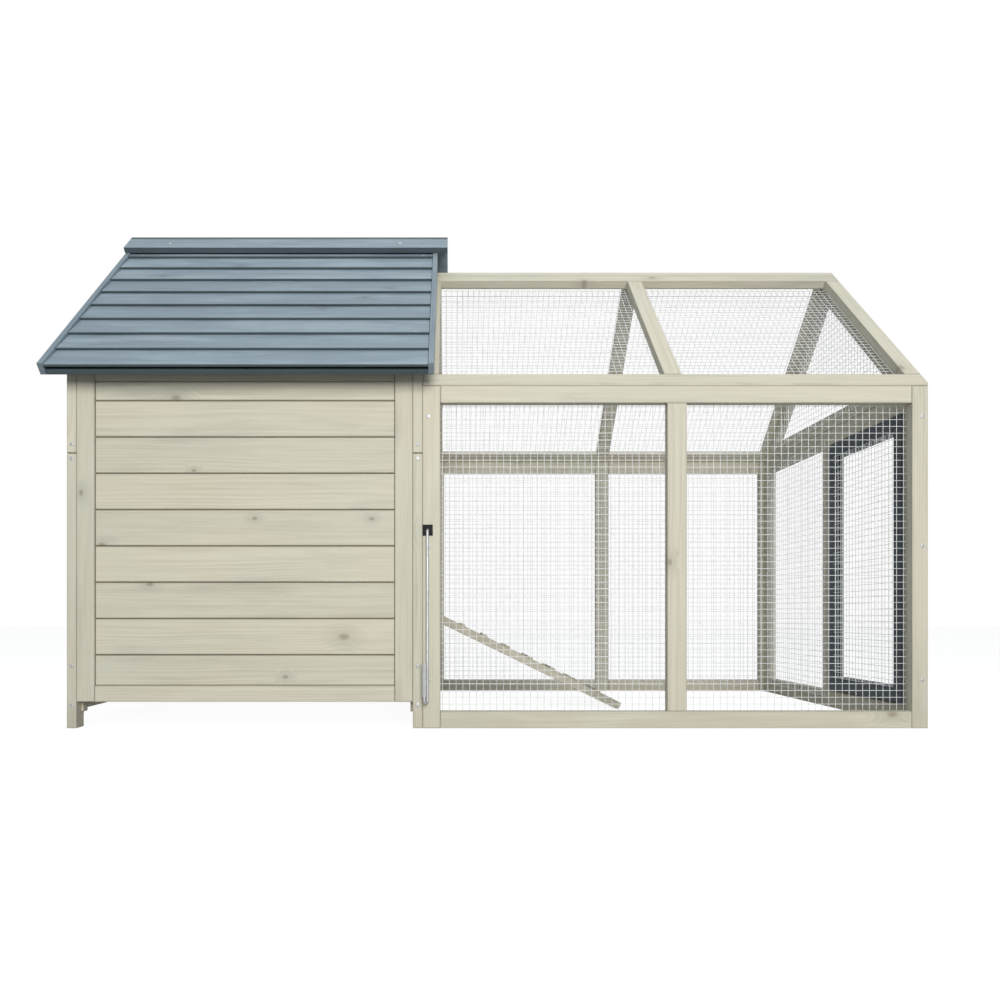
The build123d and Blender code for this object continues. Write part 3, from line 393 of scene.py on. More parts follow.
def knots(tree, place, spacing, largest):
    """Knots: a mask of their hearts, and how strongly they pull the rings aside."""
    flat = along(tree, "MULTIPLY", place, (0.6 / spacing, 1.0 / spacing, 1.0 / spacing))
    cells = add(tree, "ShaderNodeTexVoronoi", {"Vector": flat, "Scale": 1.0}, voronoi_dimensions="2D")
    distance = calc(tree, "MULTIPLY", cells.outputs["Distance"], spacing)
    luck, size, _ = add(tree, "ShaderNodeSeparateXYZ", {0: cells.outputs["Color"]}).outputs
    present = calc(tree, "GREATER_THAN", luck, 0.5)
    radius = calc(tree, "MULTIPLY", calc(tree, "MULTIPLY_ADD", size, 0.65, 0.35), largest)
    ratio = calc(tree, "DIVIDE", distance, radius)
    heart = calc(tree, "MULTIPLY", spread(tree, ratio, 1.3, 0.3), present)
    pull = calc(tree, "MULTIPLY", spread(tree, ratio, 5.0, 0.6, 0.0, 2.2), present)
    whorl = calc(tree, "SINE", calc(tree, "MULTIPLY", distance, 4500.0))
    whorl = calc(tree, "MULTIPLY_ADD", whorl, 0.25, 0.75)
    return calc(tree, "MULTIPLY", heart, whorl), pull


def limewashed_wood(timber):
    """Fir with a thin greyish limewash: rings, fibres, knots and a tone of its own for each board."""
    material, tree, shader = new_material("limewashed_wood")
    inside, place, chance = board_place(tree)
    luck, _, tone = add(tree, "ShaderNodeSeparateXYZ", {0: chance}).outputs
    heart, pull = knots(tree, place, timber.knot_spacing, timber.knot_radius)
    rings = growth_rings(tree, inside, place, chance, pull, timber.ring_pitch)
    fibres = noise(tree, along(tree, "MULTIPLY", place, (5.0, 150.0, 150.0)), detail=4.0, roughness=0.6)
    pores = noise(tree, along(tree, "MULTIPLY", place, (28.0, 900.0, 900.0)), detail=2.0)
    wash = noise(tree, along(tree, "MULTIPLY", place, (4.0, 14.0, 14.0)), detail=3.0)
    wash = spread(tree, wash, 0.35, 0.68, 0.3, 1.0)
    late = calc(tree, "MULTIPLY", calc(tree, "MULTIPLY", rings, wash), 0.42)
    late = calc(tree, "ADD", late, calc(tree, "MULTIPLY_ADD", fibres, 1.2, -0.56))
    base = blend(tree, late, timber.pale, timber.late)
    stain = noise(tree, along(tree, "MULTIPLY", place, (2.6, 17.0, 17.0)), detail=5.0, roughness=0.62)
    stain = spread(tree, stain, 0.50, 0.76, 0.0, 0.62)
    stain = calc(tree, "ADD", stain, calc(tree, "MULTIPLY", pull, 0.22))
    base = blend(tree, stain, base, timber.grey)
    tint = noise(tree, along(tree, "MULTIPLY", place, (3.0, 9.0, 9.0)), detail=2.0)
    tint = spread(tree, tint, 0.3, 0.7, 0.0, 0.75)
    tint = calc(tree, "ADD", tint, calc(tree, "MULTIPLY", tone, 0.25))
    hue = blend(tree, tint, (0.98, 0.995, 0.99), (1.025, 1.0, 0.985))
    base = blend(tree, 1.0, base, hue, "MULTIPLY")
    base = toned(tree, base, luck, 0.025)
    pitted = calc(tree, "MULTIPLY", spread(tree, pores, 0.60, 0.78), 0.14)
    base = blend(tree, pitted, base, timber.late)
    base = blend(tree, calc(tree, "MULTIPLY", heart, 0.8), base, timber.knot)
    arris, end, _ = board_edges(tree, inside)
    base = blend(tree, spread(tree, arris, 0.0, RUB_DEPTH, 0.22, 0.0), base, timber.late)
    base = blend(tree, spread(tree, end, *END_FACE, 0.45, 0.0), base, timber.late)
    # Painted shade in the joints between boards and at the butted ends of rails and posts
    joint_shade = calc(tree, "MULTIPLY", painted_joint_shade(tree, arris, end, JOINT_SHADE_DEPTH), 0.97)
    base = blend(tree, joint_shade, base, timber.joint)
    spot = add(tree, "ShaderNodeTexCoord").outputs["Object"]
    level = add(tree, "ShaderNodeSeparateXYZ", {0: spot}).outputs["Z"]
    damp = calc(tree, "ADD", level, calc(tree, "MULTIPLY_ADD", wash, 0.10, -0.07))
    base = blend(tree, spread(tree, damp, DAMP_HEIGHT, 0.0, 0.0, 0.35), base, timber.late)
    tree.links.new(base, shader.inputs["Base Color"])
    roughened(tree, shader, fibres, 0.62, 0.82)
    shader.inputs["Specular IOR Level"].default_value = 0.3
    height = calc(tree, "ADD", calc(tree, "MULTIPLY", rings, 0.35), calc(tree, "ADD", fibres, pores))
    bumped(tree, shader, height, 0.4, 0.00035)
    return material


def painted_wood(name, paint, worn, dark, roughness, timber):
    """Thin paint on planed boards: grain that shows through, rubbed arrises, scuffs, and painted shade on
    the laps, the board ends and the roof battens.
    """
    material, tree, shader = new_material(name)
    inside, place, chance = board_place(tree)
    luck = add(tree, "ShaderNodeSeparateXYZ", {0: chance}).outputs["X"]
    heart, pull = knots(tree, place, timber.knot_spacing, timber.knot_radius)
    rings = growth_rings(tree, inside, place, chance, pull, timber.ring_pitch)
    fibres = noise(tree, along(tree, "MULTIPLY", place, (5.0, 190.0, 190.0)), detail=4.0, roughness=0.7)
    clouds = noise(tree, along(tree, "MULTIPLY", place, (4.0, 16.0, 16.0)), detail=4.0, roughness=0.6)
    speck = noise(tree, along(tree, "MULTIPLY", place, (160.0, 380.0, 380.0)), detail=2.0)
    deep = calc(tree, "MULTIPLY", spread(tree, fibres, 0.48, 0.78), 0.5)
    base = blend(tree, spread(tree, clouds, 0.38, 0.70, 0.0, 0.75), paint, worn)
    base = blend(tree, deep, base, dark)
    base = blend(tree, calc(tree, "MULTIPLY", rings, 0.10), base, dark)
    base = blend(tree, calc(tree, "MULTIPLY", pull, 0.10), base, dark)
    base = toned(tree, base, luck, 0.06)
    base = blend(tree, calc(tree, "MULTIPLY", heart, 0.35), base, dark)
    arris, end, edge = board_edges(tree, inside)
    seam = add(tree, "ShaderNodeAttribute", attribute_name="seam").outputs["Fac"]
    rubbed = spread(tree, arris, 0.0, PAINT_RUB_DEPTH, 1.0, 0.0)
    rubbed = calc(tree, "MULTIPLY", rubbed, spread(tree, speck, 0.42, 0.62, 0.15, 0.6))
    base = blend(tree, rubbed, base, worn)
    scuffed = calc(tree, "MULTIPLY", spread(tree, speck, 0.68, 0.80), 0.3)
    base = blend(tree, scuffed, base, worn)
    # Painted shade on the boards' long edge faces, under the laps
    lap = calc(tree, "MULTIPLY", spread(tree, edge, 0.0003, LAP_SHADE_DEPTH, 0.85, 0.0), seam)
    base = blend(tree, lap, base, dark)
    # Painted shade near the ends of the boards, less of it on the end faces
    across = spread(tree, end, 0.0, END_SHADOW, 0.9, 0.0)
    across = calc(tree, "MULTIPLY", across, spread(tree, end, *END_FACE, 0.3, 1.0))
    base = blend(tree, across, base, dark)
    # Painted shade on the battens of the roof frames
    coat = add(tree, "ShaderNodeAttribute", attribute_name="coat").outputs["Fac"]
    base = blend(tree, calc(tree, "MULTIPLY", coat, 0.85), base, dark)
    tree.links.new(base, shader.inputs["Base Color"])
    roughened(tree, shader, clouds, roughness - 0.06, roughness + 0.1)
    shader.inputs["Specular IOR Level"].default_value = 0.35
    height = calc(tree, "ADD", calc(tree, "MULTIPLY", rings, 0.3), fibres)
    bumped(tree, shader, height, 0.35, 0.0003)
    return material


# Metal and plastic


def plated_steel(name, tint, metallic, roughness):
    """Zinc plated steel: a dull sheen with faint cloudy spangle and fine scratches."""
    material, tree, shader = new_material(name)
    place = add(tree, "ShaderNodeTexCoord").outputs["Object"]
    spangle = add(tree, "ShaderNodeTexVoronoi", {"Vector": place, "Scale": 420.0}, feature="F1")
    value = add(tree, "ShaderNodeSeparateXYZ", {0: spangle.outputs["Color"]}).outputs["X"]
    haze = noise(tree, place, 60.0, 3.0)
    dull = tuple(channel * 0.72 for channel in tint)
    base = blend(tree, calc(tree, "MULTIPLY", value, 0.35), tint, dull)
    base = blend(tree, spread(tree, haze, 0.45, 0.75, 0.0, 0.5), base, dull)
    tree.links.new(base, shader.inputs["Base Color"])
    roughened(tree, shader, haze, roughness - 0.07, roughness + 0.08)
    shader.inputs["Metallic"].default_value = metallic
    scratches = noise(tree, along(tree, "MULTIPLY", place, (1500.0, 1500.0, 90.0)), detail=2.0)
    bumped(tree, shader, scratches, 0.12, 0.00008)
    return material


def moulded_plastic(name, tint, roughness):
    """Moulded plastic with a fine even texture."""
    material, tree, shader = new_material(name)
    place = add(tree, "ShaderNodeTexCoord").outputs["Object"]
    texture = noise(tree, place, 1400.0, 2.0)
    wear = noise(tree, place, 90.0, 3.0)
    rubbed = tuple(min(1.0, channel * 1.35 + 0.01) for channel in tint)
    base = blend(tree, spread(tree, wear, 0.5, 0.75, 0.0, 0.5), tint, rubbed)
    tree.links.new(base, shader.inputs["Base Color"])
    roughened(tree, shader, wear, roughness - 0.05, roughness + 0.08)
    shader.inputs["Specular IOR Level"].default_value = 0.3
    bumped(tree, shader, texture, 0.2, 0.0001)
    return material


# Meshes


def joined(node):
    """A node's loose triangles, joined and dissolved into whole faces."""
    shape = bmesh.new()
    shape.from_mesh(frame["nodes"][node].data)
    bmesh.ops.remove_doubles(shape, verts=shape.verts, dist=5e-6)
    bmesh.ops.dissolve_limit(
        shape,
        angle_limit=radians(0.5),
        use_dissolve_boundaries=False,
        verts=shape.verts,
        edges=shape.edges,
    )
    return shape


def islands(shape):
    """The lists of vertices of the separate boards in a shape."""
    left = set(shape.verts)
    found = []
    for start in shape.verts:
        if start not in left:
            continue
        left.discard(start)
        island = [start]
        for vertex in island:
            for edge in vertex.link_edges:
                other = edge.other_vert(vertex)
                if other in left:
                    left.discard(other)
                    island.append(other)
        found.append(island)
    return found


def faces_of(island):
    """The faces of a board, in an order that is the same in every run."""
    return list(dict.fromkeys(face for vertex in island for face in vertex.link_faces))


def forward(axis):
    """The axis, turned so that its largest component is positive."""
    return axis if max(axis, key=abs) > 0 else -axis


def board_frame(island):
    """A board's directions along, across and through, its middle and its half sizes."""
    edges = dict.fromkeys(edge for vertex in island for edge in vertex.link_edges)
    longest = max(edges, key=lambda edge: edge.calc_length())
    run = forward((longest.verts[1].co - longest.verts[0].co).normalized())
    widest = max(faces_of(island), key=lambda face: face.calc_area())
    deep = forward((widest.normal - run * widest.normal.dot(run)).normalized())
    axes = (run, deep.cross(run), deep)
    spans = [[vertex.co.dot(axis) for vertex in island] for axis in axes]
    middle = sum((axis * (min(span) + max(span)) / 2 for axis, span in zip(axes, spans)), Vector())
    half = Vector([(max(span) - min(span)) / 2 for span in spans])
    return axes, middle, half


def scrambled(point):
    """Three even numbers from 0 to 1 that depend only on a place."""
    salt = 3.7
    values = []
    for turn in range(3):
        weights = (71.3 + 17 * turn, 191.7 + 5 * turn, 313.1 - 11 * turn)
        key = point.x * weights[0] + point.y * weights[1] + point.z * weights[2] + salt
        values.append((key * 43.758) % 1.0)
    return Vector(values)


def grained(shape, seam, paints_batten_shade):
    """Writes each board's coordinates, half sizes, random numbers, the strength of its painted joint
    shade and the painted shade of a roof batten on its vertices.
    """
    grain = shape.verts.layers.float_vector.new("grain")
    half_size = shape.verts.layers.float_vector.new("half")
    board = shape.verts.layers.float_vector.new("board")
    joint = shape.verts.layers.float.new("seam")
    coat = shape.verts.layers.float.new("coat")
    for island in islands(shape):
        axes, middle, half = board_frame(island)
        chance = scrambled(middle)
        for vertex in island:
            offset = vertex.co - middle
            vertex[grain] = Vector([offset.dot(axis) for axis in axes])
            vertex[half_size] = half
            vertex[board] = chance
            vertex[joint] = seam
            # Painted shade for the battens of the roof frames, which face down
            vertex[coat] = float(paints_batten_shade and abs(axes[0].x) > 0.9)


def eased(shape, width):
    """Rounds the sharp arrises of a shape."""
    sharp = [
        edge
        for edge in shape.edges
        if len(edge.link_faces) == 2 and edge.calc_face_angle() > radians(20)
    ]
    bmesh.ops.bevel(
        shape,
        geom=sharp,
        offset=width,
        offset_type="OFFSET",
        segments=2,
        profile=0.6,
        affect="EDGES",
        clamp_overlap=True,
    )


def run_rails_through(shape):
    """Lets the front frame's top and bottom rails run on over its centre stile."""
    parts = [(island, *board_frame(island)) for island in islands(shape)]
    stiles = [part for part in parts if abs(part[1][0].z) > 0.9]
    rails = [part for part in parts if abs(part[1][0].x) > 0.9]
    stile, _, centre, _ = sorted(stiles, key=lambda part: part[2].x)[1]
    for above in (True, False):
        pair = [rail for rail in rails if (rail[2].z > centre.z) == above]
        left, right = sorted(pair, key=lambda rail: rail[2].x)
        reach = max(vertex.co.x for vertex in right[0])
        for vertex in left[0]:
            if vertex.co.x > left[2].x:
                vertex.co.x = reach
        nearer = min if above else max
        inner = nearer(vertex.co.z for vertex in left[0])
        for vertex in stile:
            if (vertex.co.z > centre.z) == above:
                vertex.co.z = inner
        bmesh.ops.delete(shape, geom=right[0], context="VERTS")


def piece(name, shape, material, body, slot, *nodes):
    """A finished piece: a mesh that rides on a body and stands for its nodes, which it hides; its slot is
    not used.
    """
    mesh = bpy.data.meshes.new(name)
    if isinstance(shape, bmesh.types.BMesh):
        shape.to_mesh(mesh)
        shape.free()
    else:
        mesh = shape
        mesh.name = name
    mesh.materials.clear()
    mesh.materials.append(material)
    item = bpy.data.objects.new(name, mesh)
    bpy.context.scene.collection.objects.link(item)
    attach(item, body)
    if nodes:
        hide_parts(*nodes)
    return item


def body_of(node):
    """The body that a node belongs to."""
    return frame["nodes"][node]["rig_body"]


def dress_timber(nodes, material, timber, slot):
    """Eased and grained copies of the lumber in these nodes; boards get painted shade in their joints all
    round.
    """
    for node in nodes:
        shape = joined(node)
        if node == "run_front_frame":
            run_rails_through(shape)
        boards = node.endswith("_boards") or node == "tray_sides"
        eased(shape, timber.joint_arris if boards else timber.arris)
        seam = BOARD_SEAM if boards or "cap" in node else FRAME_SEAM
        grained(shape, seam, node in ROOF_FRAMES)
        piece(f"finished_{node}", shape, material, body_of(node), slot, node)


def smoothed(item, angle):
    """Shades a piece smooth, apart from edges sharper than an angle."""
    for face in item.data.polygons:
        face.use_smooth = True
    item.data.set_sharp_from_angle(angle=angle)


# Geometry Nodes


def new_tree(name, sockets):
    """A geometry tree with named inputs: the tree and the outputs of its Group Input."""
    tree = bpy.data.node_groups.new(name, "GeometryNodeTree")
    for title, kind in sockets:
        tree.interface.new_socket(title, in_out="INPUT", socket_type=kind)
    tree.interface.new_socket("Geometry", in_out="OUTPUT", socket_type="NodeSocketGeometry")
    group = tree.nodes.new("NodeGroupInput")
    return tree, group.outputs


def close_tree(tree, geometry, material):
    """Ends a tree in Realize Instances and Set Material."""
    real = add(tree, "GeometryNodeRealizeInstances", {0: geometry})
    coat = add(tree, "GeometryNodeSetMaterial", {"Geometry": real.outputs[0], "Material": material})
    add(tree, "NodeGroupOutput", {0: coat.outputs[0]})


def grown(tree, values, mesh):
    """The plain mesh that a tree makes from a mesh, with these values on its inputs."""
    host = bpy.data.objects.new(tree.name, mesh)
    bpy.context.scene.collection.objects.link(host)
    modifier = host.modifiers.new(tree.name, "NODES")
    modifier.node_group = tree
    for item in tree.interface.items_tree:
        if item.in_out == "INPUT" and item.name in values:
            modifier[item.identifier] = values[item.name]
    bpy.context.view_layer.update()
    graph = bpy.context.evaluated_depsgraph_get()
    result = bpy.data.meshes.new_from_object(host.evaluated_get(graph), depsgraph=graph)
    host.modifiers.clear()
    bpy.data.objects.remove(host)
    return result


def net_tree():
    """A flat net of straight wires in the XZ plane: rectangular, or a triangle on its base."""
    tree, inlet = new_tree(
        "wire_net",
        (
            ("Width", "NodeSocketFloat"),
            ("Height", "NodeSocketFloat"),
            ("Pitch", "NodeSocketFloat"),
            ("Wire", "NodeSocketFloat"),
            ("Sides", "NodeSocketInt"),
            ("Triangle", "NodeSocketBool"),
            ("Material", "NodeSocketMaterial"),
        ),
    )
    width, height, pitch, wire = inlet["Width"], inlet["Height"], inlet["Pitch"], inlet["Wire"]
    rod = add(
        tree,
        "GeometryNodeMeshCylinder",
        {"Vertices": inlet["Sides"], "Radius": wire, "Depth": 1.0},
        fill_type="NGON",
    ).outputs["Mesh"]
    half = calc(tree, "DIVIDE", width, 2.0)
    slope = calc(tree, "DIVIDE", height, half)
    position = tree.nodes.new("GeometryNodeInputPosition").outputs[0]
    place = add(tree, "ShaderNodeSeparateXYZ", {0: position})

    def chosen(plain, tapered):
        """The plain length in a rectangle, the tapered one in a triangle."""
        inputs = {"Switch": inlet["Triangle"], "False": plain, "True": tapered}
        return add(tree, "GeometryNodeSwitch", inputs, input_type="FLOAT").outputs[0]

    across = calc(tree, "FLOOR", calc(tree, "DIVIDE", width, pitch))
    covered = calc(tree, "MULTIPLY", across, pitch)
    margin = calc(tree, "DIVIDE", calc(tree, "SUBTRACT", width, covered), 2.0)
    start = add(tree, "ShaderNodeCombineXYZ", {0: calc(tree, "SUBTRACT", margin, half)}).outputs[0]
    posts = add(
        tree,
        "GeometryNodeMeshLine",
        {
            "Count": calc(tree, "ADD", across, 1.0),
            "Start Location": start,
            "Offset": add(tree, "ShaderNodeCombineXYZ", {0: pitch}).outputs[0],
        },
    )
    reach = calc(tree, "SUBTRACT", half, calc(tree, "ABSOLUTE", place.outputs["X"]))
    tall = chosen(height, calc(tree, "MULTIPLY", reach, slope))
    marked = add(
        tree,
        "GeometryNodeStoreNamedAttribute",
        {"Geometry": posts.outputs[0], "Name": "tall", "Value": tall},
        data_type="FLOAT",
        domain="POINT",
    )
    rise = add(tree, "ShaderNodeCombineXYZ", {2: calc(tree, "DIVIDE", tall, 2.0)}).outputs[0]
    raised = add(tree, "GeometryNodeSetPosition", {"Geometry": marked.outputs[0], "Offset": rise})
    kept = add(tree, "GeometryNodeInputNamedAttribute", {"Name": "tall"}, data_type="FLOAT").outputs[0]
    uprights = add(
        tree,
        "GeometryNodeInstanceOnPoints",
        {
            "Points": raised.outputs[0],
            "Instance": rod,
            "Scale": add(tree, "ShaderNodeCombineXYZ", {0: 1.0, 1: 1.0, 2: kept}).outputs[0],
        },
    )
    rows = calc(tree, "FLOOR", calc(tree, "DIVIDE", height, pitch))
    behind = calc(tree, "MULTIPLY", wire, 1.9)
    rungs = add(
        tree,
        "GeometryNodeMeshLine",
        {
            "Count": calc(tree, "ADD", rows, 1.0),
            "Start Location": add(tree, "ShaderNodeCombineXYZ", {1: behind}).outputs[0],
            "Offset": add(tree, "ShaderNodeCombineXYZ", {2: pitch}).outputs[0],
        },
    )
    left = calc(tree, "SUBTRACT", height, place.outputs["Z"])
    wide = calc(tree, "MULTIPLY", calc(tree, "DIVIDE", left, slope), 2.0)
    stretch = add(tree, "ShaderNodeCombineXYZ", {0: 1.0, 1: 1.0, 2: chosen(width, wide)}).outputs[0]
    crossbars = add(
        tree,
        "GeometryNodeInstanceOnPoints",
        {
            "Points": rungs.outputs[0],
            "Instance": rod,
            "Rotation": (0.0, pi / 2, 0.0),
            "Scale": stretch,
        },
    )
    both = tree.nodes.new("GeometryNodeJoinGeometry")
    tree.links.new(uprights.outputs[0], both.inputs[0])
    tree.links.new(crossbars.outputs[0], both.inputs[0])
    close_tree(tree, both.outputs[0], inlet["Material"])
    return tree


def heads_tree():
    """Fastener heads on points, each turned to its point's axis and spun by chance."""
    tree, inlet = new_tree(
        "fastener_heads",
        (
            ("Geometry", "NodeSocketGeometry"),
            ("Head", "NodeSocketObject"),
            ("Seed", "NodeSocketInt"),
            ("Material", "NodeSocketMaterial"),
        ),
    )
    axis = add(tree, "GeometryNodeInputNamedAttribute", {"Name": "axis"}, data_type="FLOAT_VECTOR")
    upright = add(tree, "FunctionNodeAlignRotationToVector", {"Vector": axis.outputs[0]}, axis="Z")
    angle = add(tree, "FunctionNodeRandomValue", {"Seed": inlet["Seed"]}, data_type="FLOAT")
    angle.inputs[3].default_value = 2 * pi
    spin = add(
        tree, "FunctionNodeAxisAngleToRotation", {"Axis": (0.0, 0.0, 1.0), "Angle": angle.outputs[1]}
    ).outputs[0]
    turned = add(
        tree,
        "FunctionNodeRotateRotation",
        {"Rotation": upright.outputs[0], "Rotate By": spin},
        rotation_space="LOCAL",
    ).outputs[0]
    head = add(tree, "GeometryNodeObjectInfo", {"Object": inlet["Head"]}).outputs["Geometry"]
    heads = add(
        tree,
        "GeometryNodeInstanceOnPoints",
        {"Points": inlet["Geometry"], "Instance": head, "Rotation": turned},
    )
    close_tree(tree, heads.outputs[0], inlet["Material"])
    return tree


def cross_head(radius, rise):
    """A low round screw head with a cross recess, its seat at the origin and its top at +Z."""
    shape = bmesh.new()
    sides = 20
    profile = ((1.0, 0.0), (0.985, 0.35), (0.86, 0.8), (0.62, 1.0))
    rings = []
    for reach, level in profile:
        ring = []
        for step in range(sides):
            turn = Matrix.Rotation(2 * pi * step / sides, 3, "Z")
            ring.append(shape.verts.new(turn @ Vector((radius * reach, 0, rise * level))))
        rings.append(ring)
    for low, high in zip(rings, rings[1:]):
        for step in range(sides):
            after = (step + 1) % sides
            shape.faces.new((low[step], low[after], high[after], high[step]))
    shape.faces.new(list(reversed(rings[0])))
    arm, slot = radius * 0.5, radius * 0.1
    corner = ((slot, arm), (slot, slot), (arm, slot))
    outline = []
    for quarter in range(4):
        turn = Matrix.Rotation(-quarter * pi / 2, 3, "Z")
        outline.extend(turn @ Vector((x, y, rise)) for x, y in corner)
    cross = [shape.verts.new(point) for point in outline]
    floor = [shape.verts.new((p.x * 0.7, p.y * 0.7, rise * 0.15)) for p in outline]
    count = len(cross)
    for step in range(count):
        after = (step + 1) % count
        shape.faces.new((cross[step], cross[after], floor[after], floor[step]))
    shape.faces.new(floor)
    rim = [shape.edges.get((rings[-1][step], rings[-1][(step + 1) % sides])) for step in range(sides)]
    rim += [shape.edges.get((cross[step], cross[(step + 1) % count])) for step in range(count)]
    bmesh.ops.triangle_fill(shape, edges=rim, use_beauty=True, normal=(0, 0, 1))
    bmesh.ops.recalc_face_normals(shape, faces=shape.faces)
    return shape


def flat_head(radius, rise):
    """A nail's head, a shallow dome punched nearly flush."""
    shape = bmesh.new()
    bmesh.ops.create_cone(
        shape, cap_ends=True, segments=10, radius1=radius, radius2=radius * 0.7, depth=rise
    )
    bmesh.ops.translate(shape, verts=shape.verts, vec=(0, 0, rise / 2))
    return shape


def net_frame(node):
    """A net's directions up, sideways and into the run, and its corners."""
    shape = joined(node)
    runs = [board_frame(island)[0][0] for island in islands(shape)]
    corners = [vertex.co.copy() for vertex in shape.verts]
    shape.free()
    up = max(runs, key=lambda run: abs(run.z))
    up = up if up.z > 0 else -up
    sideways = min(runs, key=lambda run: abs(run.z))
    middle = sum(corners, Vector()) / len(corners)
    through = outward(middle, up.cross(sideways).normalized())
    return up, sideways, -through, corners


def headed(name, shape, spots, material, body, slot, *nodes):
    """Fastener heads of one shape at the spots, (place, axis), as one piece."""
    head_mesh = bpy.data.meshes.new(name)
    shape.to_mesh(head_mesh)
    shape.free()
    head = bpy.data.objects.new(name, head_mesh)
    bpy.context.scene.collection.objects.link(head)
    points = bpy.data.meshes.new(name)
    points.from_pydata([place for place, _ in spots], [], [])
    axes = points.attributes.new("axis", "FLOAT_VECTOR", "POINT")
    for value, (_, axis) in zip(axes.data, spots):
        value.vector = axis
    tree = bpy.data.node_groups.get("fastener_heads") or heads_tree()
    mesh = grown(tree, {"Head": head, "Seed": len(name), "Material": material}, points)
    bpy.data.objects.remove(head)
    return piece(name, mesh, material, body, slot, *nodes)


def outward(point, axis):
    """The axis, turned so that it points away from the middle of the coop."""
    inside = (cad_box[0] + cad_box[1]) / 2
    return axis if axis.dot(point - inside) > 0 else -axis


def screw_spots(node):
    """Where the node's screws sit: the middle of each head's seat, and its direction."""
    shape = joined(node)
    spots = []
    for island in islands(shape):
        cap = max(faces_of(island), key=lambda face: face.calc_area())
        low = [min(vertex.co[axis] for vertex in island) for axis in range(3)]
        high = [max(vertex.co[axis] for vertex in island) for axis in range(3)]
        middle = (Vector(low) + Vector(high)) / 2
        axis = outward(middle, cap.normal.copy())
        rise = max((vertex.co - middle).dot(axis) for vertex in island)
        spots.append((middle - axis * rise, axis))
    shape.free()
    return spots


def leaf_spots(node):
    """Three screws on each hinge leaf of a node, in a zigzag along the pin."""
    zigzag = 0.0025
    shape = joined(node)
    spots = []
    for island in islands(shape):
        (run, across, deep), middle, half = board_frame(island)
        faces = faces_of(island)
        flats = [face for face in faces if abs(face.normal.dot(deep)) > 0.99 and len(face.verts) >= 4]
        plate = max(flats, key=lambda face: face.calc_area())
        axis = outward(middle, deep)
        wide = [face for face in flats if face.calc_area() > plate.calc_area() / 2]
        level = max(face.calc_center_median().dot(axis) for face in wide)
        centre = plate.calc_center_median()
        centre += axis * (level - centre.dot(axis))
        for step, sway in ((-0.66, zigzag), (0.0, -zigzag), (0.66, zigzag)):
            spots.append((centre + run * half.x * step + across * sway, axis))
    shape.free()
    return spots


def board_screw_spots(node, places):
    """Screws on the outer face of a node's boards, at these X and Z as seen from the front."""
    shape = joined(node)
    boards = BVHTree.FromBMesh(shape)
    shape.free()
    spots = []
    for x, z in places:
        point, normal, _, _ = boards.ray_cast(Vector((x, cad_box[0].y - 1.0, z)), Vector((0, 1, 0)))
        spots.append((point, normal))
    return spots


def nail_spots(node, inset, rows):
    """Nails near both ends of each board of a node, on its outer face."""
    shape = joined(node)
    spots = []
    for island in islands(shape):
        (run, across, deep), middle, half = board_frame(island)
        axis = outward(middle, deep)
        level = max((vertex.co - middle).dot(axis) for vertex in island)
        for end in (-1, 1):
            for row in rows:
                place = middle + run * end * (half.x - inset) + across * row * half.y + axis * level
                spots.append((place, axis))
    shape.free()
    return spots


# Operators


class CoopOperator:
    """What the coop's operators share: each builds its pieces from the panel's settings."""

    bl_options = {"REGISTER", "UNDO"}

    def execute(self, context):
        """Builds the pieces."""
        self.build(context.scene.coop)
        return {"FINISHED"}


class COOP_OT_bare_timber(CoopOperator, bpy.types.Operator):
    """Finish the limewashed frames, boards, ramp, tray and perch."""

    bl_idname = "coop.bare_timber"
    bl_label = "Limewashed lumber"

    def build(self, coop):
        material = limewashed_wood(coop.timber)
        dress_timber(BARE_TIMBER, material, coop.timber, "washed_wood")


class COOP_OT_roof(CoopOperator, bpy.types.Operator):
    """Finish the lapped roof boards, their barge boards and the ridge cap."""

    bl_idname = "coop.roof"
    bl_label = "Painted roof"

    def build(self, coop):
        paint = coop.paint
        colours = (paint.roof, paint.roof_worn, paint.roof_dark)
        material = painted_wood("roof_paint", *colours, 0.6, coop.timber)
        dress_timber(ROOF_TIMBER, material, coop.timber, "roof_paint")


class COOP_OT_doors(CoopOperator, bpy.types.Operator):
    """Finish the painted doors of the run and of the house."""

    bl_idname = "coop.doors"
    bl_label = "Painted doors"

    def build(self, coop):
        paint = coop.paint
        colours = (paint.door, paint.door_worn, paint.door_dark)
        material = painted_wood("door_paint", *colours, 0.5, coop.timber)
        dress_timber(DOOR_TIMBER, material, coop.timber, "navy_paint")


class COOP_OT_nets(CoopOperator, bpy.types.Operator):
    """Make the welded wire nets of the run."""

    bl_idname = "coop.nets"
    bl_label = "Wire nets"

    def build(self, coop):
        net = coop.net
        material = plated_steel("galvanised_wire", tuple(net.tint), 0.25, 0.45)
        tree = net_tree()
        for node in NETS:
            up, sideways, through, corners = net_frame(node)
            wide = [corner.dot(sideways) for corner in corners]
            tall = [corner.dot(up) for corner in corners]
            outer = min(corner.dot(through) for corner in corners)
            inset = net.door_inset if node == "run_door_net" else 0.0
            values = {
                "Width": max(wide) - min(wide) - 2 * inset,
                "Height": max(tall) - min(tall) - 2 * inset,
                "Pitch": net.pitch,
                "Wire": net.wire,
                "Sides": net.sides,
                "Triangle": node == "run_gable_net",
                "Material": material,
            }
            mesh = grown(tree, values, bpy.data.meshes.new(node))
            middle = sideways * (max(wide) + min(wide)) / 2
            origin = middle + up * (min(tall) + inset) + through * (outer + net.wire)
            turn = Matrix((sideways, through, up)).transposed()
            mesh.transform(Matrix.Translation(origin) @ turn.to_4x4())
            if turn.determinant() < 0:
                mesh.flip_normals()
            item = piece(f"wires_{node}", mesh, material, body_of(node), "galvanised_wire", node)
            smoothed(item, radians(75))


